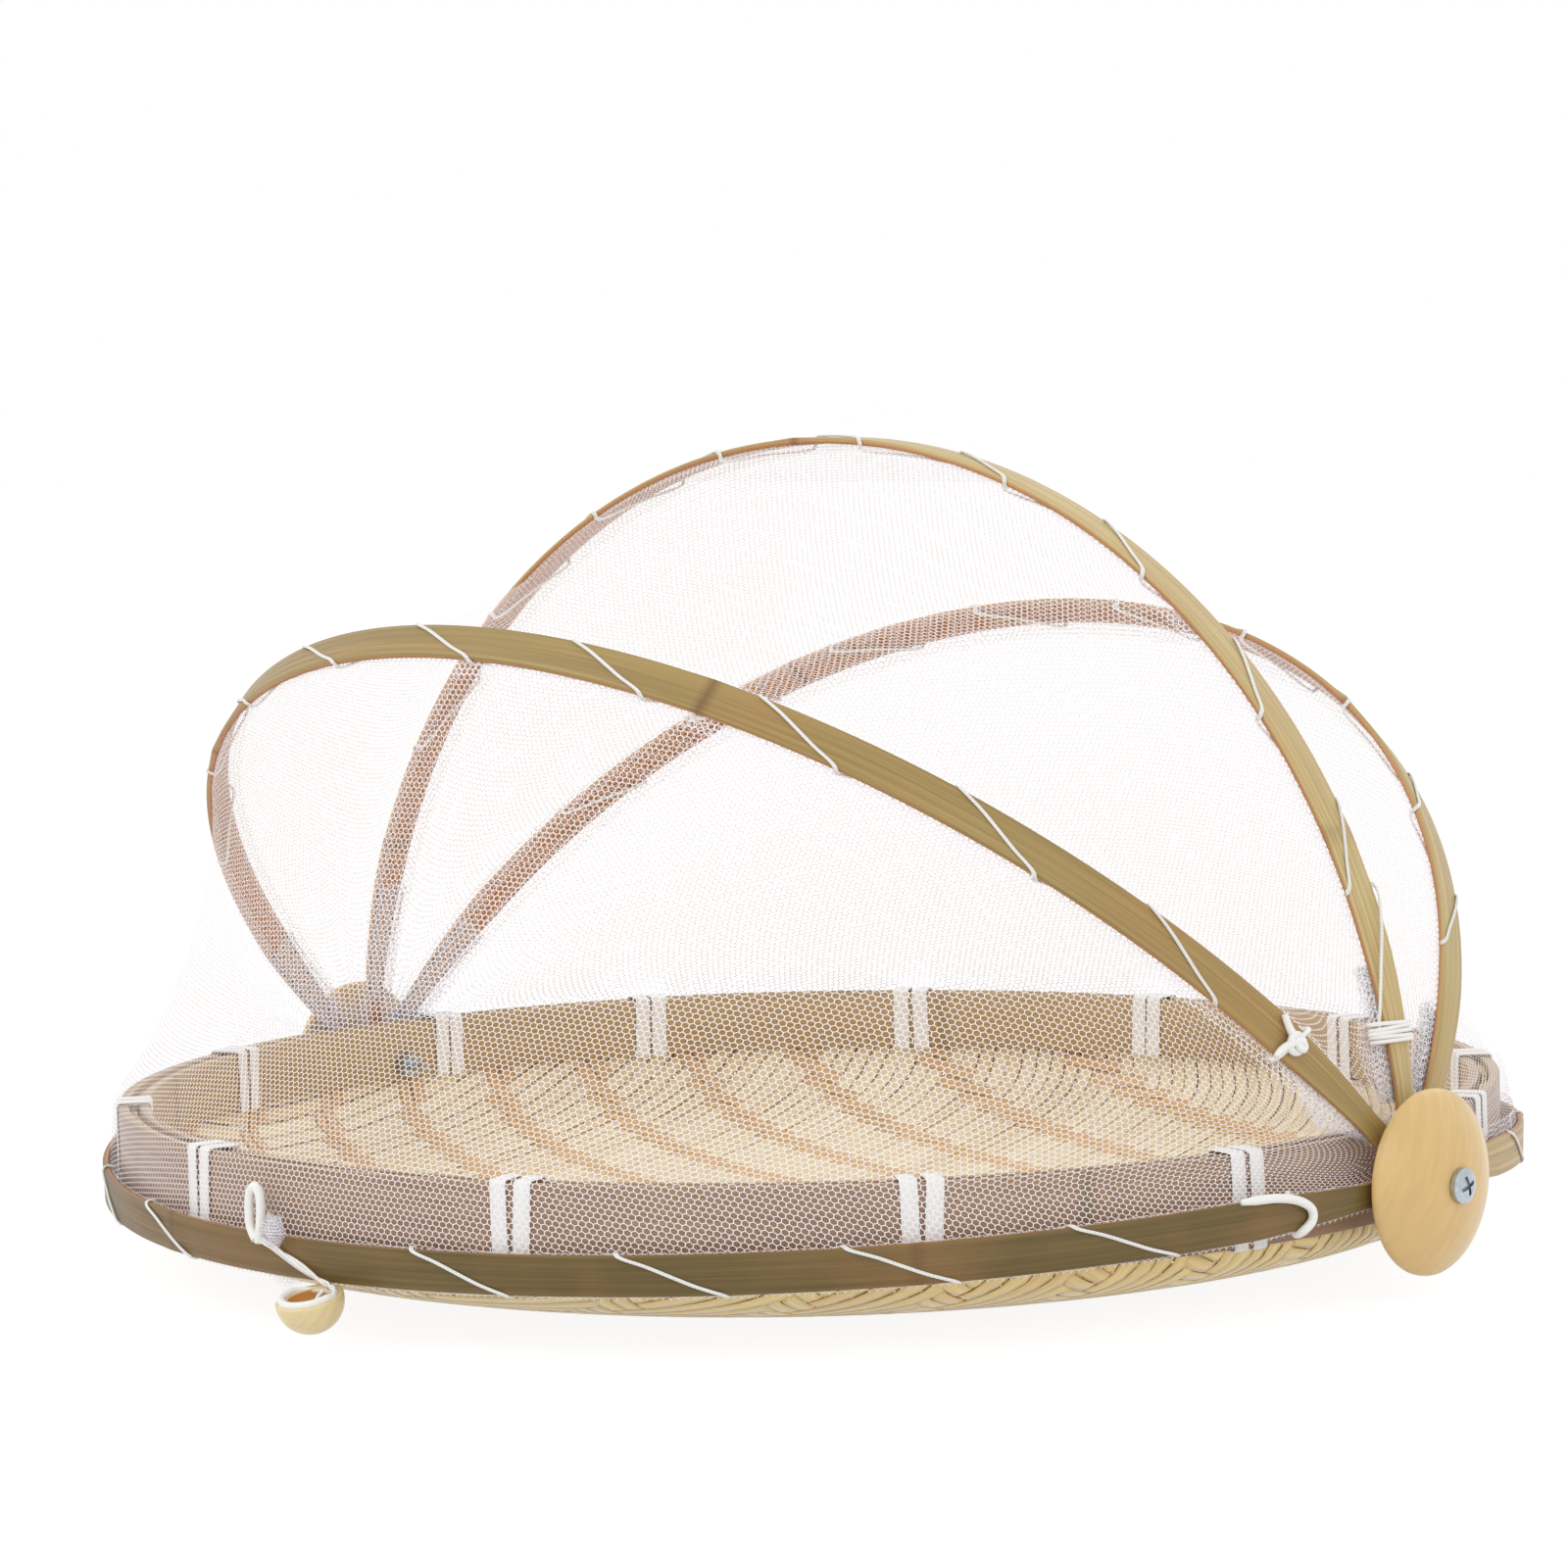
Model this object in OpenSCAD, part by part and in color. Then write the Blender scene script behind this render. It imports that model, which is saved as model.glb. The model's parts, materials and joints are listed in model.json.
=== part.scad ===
// Round woven serving tray with a folding net cover.
// Five bamboo hoops turn on one screw at each side of the rim and carry four net panels.
// Frame: origin on the table under the middle of the tray, +X through the right-hand
// pivot, -Y towards the hoop that is lifted to open the cover, +Z up. Millimetres.

/* [Tray] */
// Outside diameter of the rim
rim_d = 394; // [340:2:440]
// Height of the outer rim hoop
rim_h = 25; // [22:0.5:30]
// Height of the inner rim hoop
inner_h = 18; // [17:0.5:22]
// Wall of one rim hoop
rim_t = 3; // [2.5:0.1:4]
// Thickness of the woven base
base_t = 2.2; // [1.6:0.1:3]
// Diameter of the flat that stands on the table
foot_d = 200; // [150:5:240]
// Play left between the rim hoops and the woven base that they clamp
rim_gap = 0.3; // [0.2:0.05:0.5]
// How far the base's edge stays below the top of the rim
base_edge_drop = 1.5; // [0.5:0.25:3]

/* [Pivots] */
// Height of the pivots above the table
pivot_z = 31.7; // [28:0.1:48]
// How far the pivots lie behind the middle of the tray
pivot_back = 14; // [0:1:24]
// How far the top of the rim stands above the pivots
rim_rise = 13.3; // [10:0.1:16]
// Diameter of the pivot screw's shank
screw_d = 3; // [2.5:0.5:5]
// Radial play of the hoops on the screw
screw_play = 0.1; // [0.05:0.01:0.1]
// Diameter of the screw's pan head
head_d = 9.4; // [7:0.1:10.4]
// Height of the screw's pan head
head_h = 2.6; // [2:0.1:3.4]
// Length of the cross recess in the screw head
recess_l = 5.4; // [4:0.1:6.4]
// Width of the cross recess in the screw head
recess_w = 1.1; // [0.8:0.1:1.5]
// Depth of the cross recess
recess_deep = 1.6; // [1.2:0.1:1.8]
// Turn of the cross recess about the screw
recess_turn = 20; // [0:5:90]
// Nut size across its flats
nut_af = 7; // [6:0.5:8]
// Thickness of the nut
nut_h = 3.2; // [2.4:0.1:4]
// Screw thread that stands out past the nut
screw_tail = 6; // [3:0.5:8]
// Diameter of the wooden pivot button
button_d = 49.4; // [36:0.2:56]
// Crown height of the pivot button
button_h = 11; // [7:0.5:14]
// Straight edge of the pivot button
button_edge = 2; // [1:0.25:3]

/* [Hoops] */
// Width of a hoop strip
strip_w = 10.6; // [9:0.2:12]
// Thickness of a hoop strip
strip_t = 1.8; // [1.4:0.1:2.4]
// Width of a hoop strip's narrowed end
tip_w = 6; // [5.6:0.2:8]
// Distance from the pivot at which the narrowed end starts to widen
tip_l = 25; // [15:1:30]
// Distance from the pivot at which a strip has its full width
taper_l = 60; // [45:1:70]
// Radius of the round eye at a strip's end
eye_r = 3.3; // [3.1:0.1:4]
// Play between hoops that lie on each other at the pivots
hoop_gap = 0.5; // [0.3:0.05:0.8]
// Play between the rim and the innermost hoop at the pivots
rim_play = 0.7; // [0.5:0.05:1]
// Angle of the front low hoop above the pivots' level
front_low_angle = -2.7; // [-4:0.1:0]
// Angle of the front high hoop
front_high_angle = 43.6; // [38:0.1:50]
// Angle of the top hoop
top_angle = 90.8; // [85:0.1:95]
// Angle of the back high hoop
back_high_angle = 129.3; // [124:0.1:134]
// Angle of the back low hoop
back_low_angle = 183; // [181:0.1:185]
// How much less the front high hoop reaches out than the front low one
front_step = 3; // [1:0.5:6]
// How much less the top hoop reaches out than the mean of the two low hoops
top_step = 6; // [3:0.5:10]
// How much less the back high hoop reaches out than the back low one
back_step = 6; // [4:0.5:8]

/* [Straps, thread and net] */
// Width of one strap round the rim
strap_w = 4.8; // [3.5:0.1:6]
// Thickness of a strap
strap_t = 0.5; // [0.3:0.05:0.7]
// Gap between the two straps of a pair
strap_split = 1.3; // [0.8:0.1:3]
// Play between a strap and the rim
strap_play = 0.2; // [0.15:0.05:0.4]
// Width of the doubled lacing thread
thread_w = 1.4; // [0.8:0.1:2]
// Thickness of the lacing thread
thread_t = 0.6; // [0.4:0.05:0.8]
// Angle between neighbouring turns of the lacing, measured round a hoop
lace_step = 15.75; // [14:0.25:18]
// Slant of a lacing turn across a hoop strip
lace_slant = 45; // [30:1:50]
// Thickness of the net
net_t = 0.5; // [0.4:0.05:0.7]
// Play between the net, the thread and what they lie against
cloth_play = 0.25; // [0.2:0.05:0.35]
// Depth of a net panel's hollow, as a share of the way between its hoops
net_sag = 0.07; // [0.02:0.01:0.12]
// Slack that the low hoops keep outside the rim beyond the net and the thread
cover_slack = 0.55; // [0.4:0.05:1.5]

/* [Pull knob] */
// Diameter of the turned pull knob
knob_d = 18; // [14:0.5:22]
// How far the knob's mouth lies above its widest place
knob_cut = 0.8; // [0:0.1:3]
// How far the knob's mouth tips forward
knob_tip = 14; // [0:1:20]
// Wall of the hollow knob
knob_wall = 3; // [2:0.1:4]
// How far the knob hangs to the right of the front hoop's middle
knob_x = 18; // [8:1:24]
// Thickness of the cord that ties the knob
cord_t = 1.4; // [1:0.1:2]
// How far the cord loop stands to the left of the front hoop's middle
loop_x = 8; // [0:1:14]
// Length of the cord loop above the front hoop
loop_h = 11; // [8:0.5:16]
// Width of the cord loop
loop_w = 4.6; // [3.6:0.2:7]

/* [Hidden] */

$fn = 96;
eps = 0.01;
cut = 1;

// Tray radii and levels, from the outside in and from the table up
rim_r = rim_d / 2;
rim_top = pivot_z + rim_rise;
rim_low = rim_top - rim_h;
wall_r = rim_r - rim_t - rim_gap;
inner_r = wall_r - base_t - rim_gap;
clear_r = inner_r - rim_t;
inner_low = rim_top - inner_h;
base_arc_n = 12;

// Places along the pivot line: the rim's face, then five strips, then the button
rim_x = sqrt(rim_r * rim_r - pivot_back * pivot_back);
layer = strip_t + hoop_gap;
function strip_x(n) = rim_x + rim_play + strip_t / 2 + n * layer;
button_x = strip_x(4) + strip_t / 2 + hoop_gap;
head_x = button_x + button_h;
bore_r = screw_d / 2 + screw_play;
nut_r = nut_af / 2 / cos(30);
nut_play = 0.05;
nut_x = sqrt(clear_r * clear_r - pow(pivot_back + nut_r, 2)) - nut_play;
screw_end_x = nut_x - nut_h - screw_tail;

// The low hoops pass outside the rim with its straps, the net and the lacing
lace_in = strip_t / 2 + cloth_play + thread_t;
net_in = lace_in + cloth_play;
hug = strap_play + strap_t + 3 * cloth_play + net_t + thread_t + cover_slack;
front_reach = rim_r + pivot_back + hug + strip_t / 2;
back_reach = rim_r - pivot_back + hug + strip_t / 2;

// A hoop: half span along X, reach from the pivot line, angle
FRONT_LOW = [strip_x(4), front_reach, front_low_angle];
FRONT_HIGH = [strip_x(3), front_reach - front_step, front_high_angle];
TOP = [strip_x(2), (front_reach + back_reach) / 2 - top_step, top_angle];
BACK_HIGH = [strip_x(1), back_reach - back_step, back_high_angle];
BACK_LOW = [strip_x(0), back_reach, back_low_angle];
hoop_steps = 60;

// Net panels end this far round the hoops from each pivot
net_end = 14;
net_columns = 32;
net_rows = 6;
net_fold_r = rim_r + strap_play + strap_t + cloth_play + net_t;
net_fold_z = rim_top + strap_play + strap_t + cloth_play + net_t;
net_part = 0.4;

// Lacing turns are counted from the middle of a hoop
lace_mid = 89.5;
lace_turns = 3;

// Places round their hoops of the binding, the tie and the knot, and their turns
binding_at = 11.5;
binding_turns = 5;
binding_over = 3;
tie_at = 12.5;
tie_turns = 2;
tie_over = 2;
turn_part = 0.8;
turn_gap = 0.1;
knot_at = 16;
knot_r = 3;

// Plan angles of the strap pairs, from +X, and how far up the rim a strap's ends stay
STRAPS = [22, 47, 73.5, 98.5, 123, 149, 170.5, 198, 230, 257.5, 290.5, 321.5, 348];
strap_up = 1;

// Knob: outside the rim so that it passes it when the hoop is lifted
knob_r = knob_d / 2;
knob_clear = 1;
knob_drop = 0.4;
knob_y = -(rim_r + strap_play + strap_t + knob_clear + knob_r);
knob_top = pivot_z + front_reach * sin(front_low_angle) - strip_w / 2 - knob_drop;
mouth_r = sqrt(knob_r * knob_r - knob_cut * knob_cut);
knob_z = knob_top - knob_cut * cos(knob_tip) - mouth_r * sin(knob_tip);

// Point of a hoop's strip in its own plane, off millimetres outside its middle line
function across(h, t) =
    [h[1] * cos(t), h[0] * sin(t)] / norm([h[1] * cos(t), h[0] * sin(t)]);
function in_plane(h, t, off) = [h[0] * cos(t), h[1] * sin(t)] + off * across(h, t);

// The same point in the part's frame, side millimetres towards the next hoop
function on_hoop(h, t, off, side) =
    let (p = in_plane(h, t, off))
    [p[0],
     pivot_back - p[1] * cos(h[2]) + side * sin(h[2]),
     pivot_z + p[1] * sin(h[2]) + side * cos(h[2])];

// Puts a shape drawn in a hoop's plane, with its reach along +Y, at the hoop's angle
module at_hoop(h) {
    translate([0, pivot_back, pivot_z])
        rotate([-h[2], 0, 0])
            rotate([0, 0, 180])
                children();
}

// Places a shape on a strip at t: +X out of the strip's face, +Y along it, +Z across it
module on_strip(h, t) {
    p = in_plane(h, t, 0);
    n = across(h, t);
    at_hoop(h)
        translate([p[0], p[1], 0])
            rotate([0, 0, atan2(n[1], n[0])])
                children();
}

// Shape turned about the pivot line, from its profile of radius and place along X
module on_pivot(side) {
    translate([0, pivot_back, pivot_z])
        rotate([0, side > 0 ? 90 : -90, 0])
            children();
}

module pivot_bore(r) {
    translate([0, pivot_back, pivot_z])
        rotate([0, 90, 0])
            cylinder(r = r, h = 2 * head_x, center = true);
}

module ring(r_out, r_in, z_low, z_high) {
    translate([0, 0, z_low])
        difference() {
            cylinder(r = r_out, h = z_high - z_low, $fn = 180);
            translate([0, 0, -cut])
                cylinder(r = r_in, h = z_high - z_low + 2 * cut, $fn = 180);
        }
}

// ---- Tray ----

// Quarter ellipse from the foot's edge up to the foot of the clamped wall
function bowl(r_end, z_start) =
    [for (i = [0:base_arc_n])
        let (a = 90 * i / base_arc_n)
        [foot_d / 2 + (r_end - foot_d / 2) * sin(a), z_start + (rim_low - z_start) * (1 - cos(a))]];

module woven_base() {
    edge_z = rim_top - base_edge_drop;
    under = bowl(wall_r, 0);
    over = bowl(wall_r - base_t, base_t);
    color([0.88, 0.78, 0.56])
        difference() {
            rotate_extrude($fn = 180)
                polygon(concat(
                    [[0, 0]],
                    under,
                    [[wall_r, edge_z], [wall_r - base_t, edge_z]],
                    [for (i = [base_arc_n:-1:0]) over[i]],
                    [[0, base_t]]));
            pivot_bore(bore_r);
        }
}

module rim_inner_hoop() {
    color([0.80, 0.66, 0.45])
        difference() {
            ring(inner_r, clear_r, inner_low, rim_top);
            pivot_bore(bore_r);
        }
}

module rim_outer_hoop() {
    color([0.76, 0.60, 0.40])
        difference() {
            ring(rim_r, rim_r - rim_t, rim_low, rim_top);
            pivot_bore(bore_r);
        }
}

// One strap bent over the rim: outer leg, top and a shorter inner leg
module strap(angle) {
    r_out = rim_r + strap_play;
    r_in = clear_r - strap_play;
    z_top = rim_top + strap_play;
    sweep = 360 * strap_w / (2 * PI * rim_r);
    rotate([0, 0, angle - sweep / 2])
        rotate_extrude(angle = sweep, $fn = 180)
            polygon([
                [r_in - strap_t, z_top + strap_t],
                [r_in - strap_t, inner_low + strap_up],
                [r_in, inner_low + strap_up],
                [r_in, z_top],
                [r_out, z_top],
                [r_out, rim_low + strap_up],
                [r_out + strap_t, rim_low + strap_up],
                [r_out + strap_t, z_top + strap_t]]);
}

module rim_straps() {
    half = 180 * (strap_w + strap_split) / (2 * PI * rim_r);
    color([0.93, 0.92, 0.90])
        for (a = STRAPS) {
            strap(a - half);
            strap(a + half);
        }
}

// ---- Hoops ----

module hoop(h) {
    half = strip_t / 2;
    far = h[1] + strip_t;
    below = -eye_r - cut;
    outer = [for (i = [0:hoop_steps]) in_plane(h, 180 * i / hoop_steps, half)];
    inner = [for (i = [hoop_steps:-1:0]) in_plane(h, 180 * i / hoop_steps, -half)];
    at_hoop(h)
        difference() {
            intersection() {
                linear_extrude(height = strip_w, center = true)
                    polygon(concat(
                        [[h[0] + half, below]],
                        outer,
                        [[-h[0] - half, below], [-h[0] + half, below]],
                        inner,
                        [[h[0] - half, below]]));
                rotate([90, 0, 90])
                    linear_extrude(height = 2 * (h[0] + strip_t), center = true)
                        union() {
                            circle(r = eye_r);
                            polygon([
                                [0, -tip_w / 2], [tip_l, -tip_w / 2],
                                [taper_l, -strip_w / 2], [far, -strip_w / 2],
                                [far, strip_w / 2], [taper_l, strip_w / 2],
                                [tip_l, tip_w / 2], [0, tip_w / 2]]);
                        }
            }
            rotate([0, 90, 0])
                cylinder(r = bore_r, h = 2 * head_x, center = true);
        }
}

module hoop_front_low() { color([0.50, 0.43, 0.26]) hoop(FRONT_LOW); }
module hoop_front_high() { color([0.58, 0.48, 0.29]) hoop(FRONT_HIGH); }
module hoop_top() { color([0.79, 0.71, 0.52]) hoop(TOP); }
module hoop_back_high() { color([0.72, 0.64, 0.46]) hoop(BACK_HIGH); }
module hoop_back_low() { color([0.62, 0.53, 0.34]) hoop(BACK_LOW); }

// ---- Net ----

function mix(a, b, s) = a * (1 - s) + b * s;

// Where the net bends over the rim's edge, in the plan direction of a hoop's point
function rim_fold(p, thin) =
    let (k = (net_fold_r - thin) / norm([p[0], p[1]]))
    [p[0] * k, p[1] * k, net_fold_z - thin];

// Straight way from a to b, hollowed towards the pivot line by the vector deep at its middle
function hollow(a, b, deep) =
    [for (i = [0:net_rows])
        let (s = i / net_rows)
        mix(a, b, s) - 4 * s * (1 - s) * deep];

// One column of a panel at t: from the lower hoop, over the rim where it meets it, up
function column(low, high, t, thin, fold) =
    let (
        a = on_hoop(low, t, -net_in - thin, net_part),
        b = on_hoop(high, t, -net_in - thin, -net_part),
        m = (a + b) / 2 - [0, pivot_back, pivot_z],
        deep = net_sag * norm(b - a) * m / norm(m),
        k = fold == 0 ? a : rim_fold(fold < 0 ? a : b, thin))
    fold == 0 ? hollow(a, b, deep)
    : fold < 0 ? concat([a], hollow(k, b, deep))
    : concat(hollow(a, k, deep), [b]);

// Closed shell between two grids of points; fold is -1 or 1 where the lower or the
// higher of the two hoops lies outside the rim
module net_panel(low, high, fold) {
    turns = [for (i = [0:net_columns]) mix(net_end, 180 - net_end, i / net_columns)];
    m = len(turns);
    n = net_rows + 1 + abs(fold);
    skin = [for (thin = [0, net_t]) for (t = turns) each column(low, high, t, thin, fold)];
    function id(s, i, j) = (s * m + i) * n + j;
    function quad(a, b, c, d) = [[a, b, c], [a, c, d]];
    faces = concat(
        [for (i = [0:m - 2]) for (j = [0:n - 2])
            each quad(id(0, i, j), id(0, i + 1, j), id(0, i + 1, j + 1), id(0, i, j + 1))],
        [for (i = [0:m - 2]) for (j = [0:n - 2])
            each quad(id(1, i, j), id(1, i, j + 1), id(1, i + 1, j + 1), id(1, i + 1, j))],
        [for (i = [0:m - 2])
            each quad(id(0, i, 0), id(1, i, 0), id(1, i + 1, 0), id(0, i + 1, 0))],
        [for (i = [0:m - 2])
            each quad(id(0, i, n - 1), id(0, i + 1, n - 1), id(1, i + 1, n - 1), id(1, i, n - 1))],
        [for (j = [0:n - 2])
            each quad(id(0, 0, j), id(0, 0, j + 1), id(1, 0, j + 1), id(1, 0, j))],
        [for (j = [0:n - 2])
            each quad(id(0, m - 1, j), id(1, m - 1, j), id(1, m - 1, j + 1), id(0, m - 1, j + 1))]);
    color([0.93, 0.91, 0.95])
        polyhedron(points = skin, faces = faces);
}

module net_front_low() { net_panel(FRONT_LOW, FRONT_HIGH, -1); }
module net_front_high() { net_panel(FRONT_HIGH, TOP, 0); }
module net_back_high() { net_panel(TOP, BACK_HIGH, 0); }
module net_back_low() { net_panel(BACK_HIGH, BACK_LOW, 1); }

// ---- Thread ----

// One slanted turn of thread round a strip
module lace_turn(h, t) {
    tall = (strip_w + 2 * cloth_play) / cos(lace_slant) + thread_w * tan(lace_slant);
    deep = strip_t + 2 * cloth_play;
    on_strip(h, t)
        rotate([lace_slant, 0, 0])
            difference() {
                cube([deep + 2 * thread_t, thread_w, tall + 2 * thread_t], center = true);
                cube([deep, 2 * thread_w, tall], center = true);
            }
}

module lacing(h, skip_middle) {
    color([0.94, 0.93, 0.91])
        for (i = [-lace_turns:lace_turns])
            if (i != 0 || !skip_middle)
                lace_turn(h, lace_mid + i * lace_step);
}

module lacing_front_low() { lacing(FRONT_LOW, true); }
module lacing_front_high() { lacing(FRONT_HIGH, false); }
module lacing_top() { lacing(TOP, false); }
module lacing_back_high() { lacing(BACK_HIGH, false); }
module lacing_back_low() { lacing(BACK_LOW, false); }

// Turns of thread laid over a strip's outer face and down both its edges
module saddle(h, t, width, count) {
    turn_w = thread_w * turn_part;
    wide = width + 2 * cloth_play;
    on_strip(h, t)
        for (i = [0:count - 1])
            translate([0, (i - (count - 1) / 2) * (turn_w + turn_gap), 0])
                difference() {
                    translate([-strip_t / 2, -turn_w / 2, -wide / 2 - thread_t])
                        cube([strip_t + cloth_play + thread_t, turn_w, wide + 2 * thread_t]);
                    translate([-strip_t, -turn_w, -wide / 2])
                        cube([1.5 * strip_t + cloth_play, 2 * turn_w, wide]);
                }
}

// Width of a strip at a distance from the pivot line
function width_at(d) =
    d < tip_l ? tip_w
    : d > taper_l ? strip_w
    : tip_w + (strip_w - tip_w) * (d - tip_l) / (taper_l - tip_l);

module binding_top() {
    color([0.95, 0.95, 0.94])
        saddle(TOP, binding_at, width_at(TOP[1] * sin(binding_at) + binding_over), binding_turns);
}

module tie_front_low() {
    color([0.95, 0.95, 0.94])
        saddle(FRONT_LOW, tie_at, width_at(FRONT_LOW[1] * sin(tie_at) + tie_over), tie_turns);
}

// Round knot sitting on the strip's outer face
module knot_front_high() {
    color([0.95, 0.95, 0.94])
        on_strip(FRONT_HIGH, knot_at)
            translate([strip_t / 2 + cloth_play, 0, 0])
                intersection() {
                    sphere(r = knot_r, $fn = 32);
                    translate([0, -knot_r, -knot_r])
                        cube(2 * knot_r);
                }
}

// ---- Pivots ----

module button(side) {
    r = button_d / 2;
    crown = button_h - button_edge;
    dome_r = (r * r + crown * crown) / (2 * crown);
    color([0.85, 0.72, 0.50])
        on_pivot(side)
            translate([0, 0, button_x])
                difference() {
                    intersection() {
                        cylinder(r = r, h = button_h);
                        translate([0, 0, button_h - dome_r])
                            sphere(r = dome_r);
                    }
                    translate([0, 0, -cut])
                        cylinder(r = bore_r, h = button_h + 2 * cut);
                }
}

module screw(side) {
    color([0.72, 0.75, 0.78])
        on_pivot(side)
            difference() {
                union() {
                    translate([0, 0, screw_end_x])
                        cylinder(d = screw_d, h = head_x - screw_end_x + eps);
                    translate([0, 0, head_x])
                        intersection() {
                            cylinder(d = head_d, h = head_h);
                            translate([0, 0, head_h - head_d])
                                sphere(r = head_d);
                        }
                }
                for (a = [0, 90])
                    rotate([0, 0, a + recess_turn])
                        translate([-recess_l / 2, -recess_w / 2, head_x + head_h - recess_deep])
                            cube([recess_l, recess_w, recess_deep + cut]);
            }
}

module nut(side) {
    color([0.66, 0.68, 0.70])
        on_pivot(side)
            translate([0, 0, nut_x - nut_h])
                difference() {
                    cylinder(r = nut_r, h = nut_h, $fn = 6);
                    translate([0, 0, -cut])
                        cylinder(d = screw_d + 2 * nut_play, h = nut_h + 2 * cut);
                }
}

module button_right() { button(1); }
module button_left() { button(-1); }
module screw_right() { screw(1); }
module screw_left() { screw(-1); }
module nut_right() { nut(1); }
module nut_left() { nut(-1); }

// ---- Pull knob ----

module pull_knob() {
    color([0.86, 0.76, 0.54])
        translate([knob_x, knob_y, knob_z])
            rotate([knob_tip, 0, 0])
                difference() {
                    sphere(r = knob_r);
                    sphere(r = knob_r - knob_wall);
                    translate([-knob_r, -knob_r, knob_cut])
                        cube(2 * knob_r);
                }
}

// Cord from a loop above the front hoop, slanting over its face to the knob's mouth and
// down into its hollow
module knob_cord() {
    face_y = pivot_back - front_reach - strip_t / 2 - cloth_play;
    hoop_z = pivot_z + front_reach * sin(front_low_angle);
    top_z = hoop_z + strip_w / 2 + cord_t;
    floor_z = knob_z - (knob_r - knob_wall) + knob_drop;
    link_z = knob_top + cloth_play + cord_t / 2;
    fall = top_z - link_z;
    run = knob_x + loop_x;
    color([0.95, 0.95, 0.94])
        union() {
            translate([knob_x, knob_y, floor_z])
                cylinder(d = cord_t, h = link_z + cord_t / 2 - floor_z, $fn = 24);
            translate([knob_x - cord_t / 2, knob_y, link_z - cord_t / 2])
                cube([cord_t, face_y - knob_y, cord_t]);
            translate([run / 2 - loop_x, face_y - cord_t / 2, (top_z + link_z) / 2])
                rotate([0, atan2(fall, run), 0])
                    cube([norm([fall, run]), cord_t, cord_t], center = true);
            translate([-loop_x, face_y, top_z])
                rotate([90, 0, 0])
                    linear_extrude(height = cord_t)
                        translate([0, loop_w / 2])
                            difference() {
                                union() {
                                    circle(d = loop_w);
                                    translate([0, loop_h - loop_w])
                                        circle(d = loop_w);
                                    translate([-loop_w / 2, 0])
                                        square([loop_w, loop_h - loop_w]);
                                }
                                union() {
                                    circle(d = loop_w - 2 * cord_t);
                                    translate([0, loop_h - loop_w])
                                        circle(d = loop_w - 2 * cord_t);
                                    translate([-loop_w / 2 + cord_t, 0])
                                        square([loop_w - 2 * cord_t, loop_h - loop_w]);
                                }
                            }
        }
}

woven_base();
rim_inner_hoop();
rim_outer_hoop();
rim_straps();
hoop_front_low();
hoop_front_high();
hoop_top();
hoop_back_high();
hoop_back_low();
net_front_low();
net_front_high();
net_back_high();
net_back_low();
lacing_front_low();
lacing_front_high();
lacing_top();
lacing_back_high();
lacing_back_low();
binding_top();
knot_front_high();
tie_front_low();
button_right();
button_left();
screw_right();
screw_left();
nut_right();
nut_left();
pull_knob();
knob_cord();
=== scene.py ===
"""Looks of a round woven serving tray with a folding net cover, built around its CAD parts."""

import json
import math
import random

import bpy
import numpy as np
from mathutils import Matrix, Vector, noise


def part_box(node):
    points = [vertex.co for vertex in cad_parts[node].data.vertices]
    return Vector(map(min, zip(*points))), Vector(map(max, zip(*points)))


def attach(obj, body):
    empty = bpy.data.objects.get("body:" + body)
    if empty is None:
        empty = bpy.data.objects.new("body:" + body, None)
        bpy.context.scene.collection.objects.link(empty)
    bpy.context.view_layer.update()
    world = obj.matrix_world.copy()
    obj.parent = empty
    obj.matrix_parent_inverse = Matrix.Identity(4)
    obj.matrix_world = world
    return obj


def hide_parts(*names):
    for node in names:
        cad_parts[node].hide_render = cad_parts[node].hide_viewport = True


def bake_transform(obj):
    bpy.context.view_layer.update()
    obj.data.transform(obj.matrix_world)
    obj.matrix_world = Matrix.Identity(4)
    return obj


bl_info = {
    "name": "Woven Serving Tray",
    "version": (1, 0, 0),
    "blender": (4, 5, 0),
    "location": "View3D > Sidebar > Tray",
    "description": "Builds the weave, bamboo, net and thread of a covered serving tray",
    "category": "Object",
}

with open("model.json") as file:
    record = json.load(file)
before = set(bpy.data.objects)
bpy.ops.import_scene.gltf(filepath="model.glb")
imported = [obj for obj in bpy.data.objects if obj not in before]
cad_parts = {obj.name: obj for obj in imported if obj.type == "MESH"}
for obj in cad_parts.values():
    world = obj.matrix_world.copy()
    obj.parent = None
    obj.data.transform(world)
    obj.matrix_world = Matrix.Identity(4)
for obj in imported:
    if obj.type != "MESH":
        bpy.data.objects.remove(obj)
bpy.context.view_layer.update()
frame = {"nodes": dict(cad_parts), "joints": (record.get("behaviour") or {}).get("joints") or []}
MM = 0.001
TAU = 2 * math.pi
UP = np.array([0, 0, 1.0])

# Nodes and bodies that the looks stand for, and the two hoops that each net panel spans
HOOPS = ("front_low", "front_high", "top", "back_high", "back_low")
PANELS = {
    "front_low": ("front_low", "front_high"),
    "front_high": ("front_high", "top"),
    "back_high": ("top", "back_high"),
    "back_low": ("back_high", "back_low"),
}


def linear(red, green, blue):
    """A colour picked as 0 to 255 on screen, as the linear values that Blender uses."""

    def one(value):
        value /= 255
        return value / 12.92 if value < 0.0405 else ((value + 0.055) / 1.055) ** 2.4

    return one(red), one(green), one(blue)


def colour(name, description, default):
    return bpy.props.FloatVectorProperty(
        name=name, description=description, default=default, subtype="COLOR", min=0, max=1
    )


def length(name, description, default):
    return bpy.props.FloatProperty(
        name=name, description=description, default=default, subtype="DISTANCE", unit="LENGTH"
    )


# ---- Settings that a user would change ----


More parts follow.
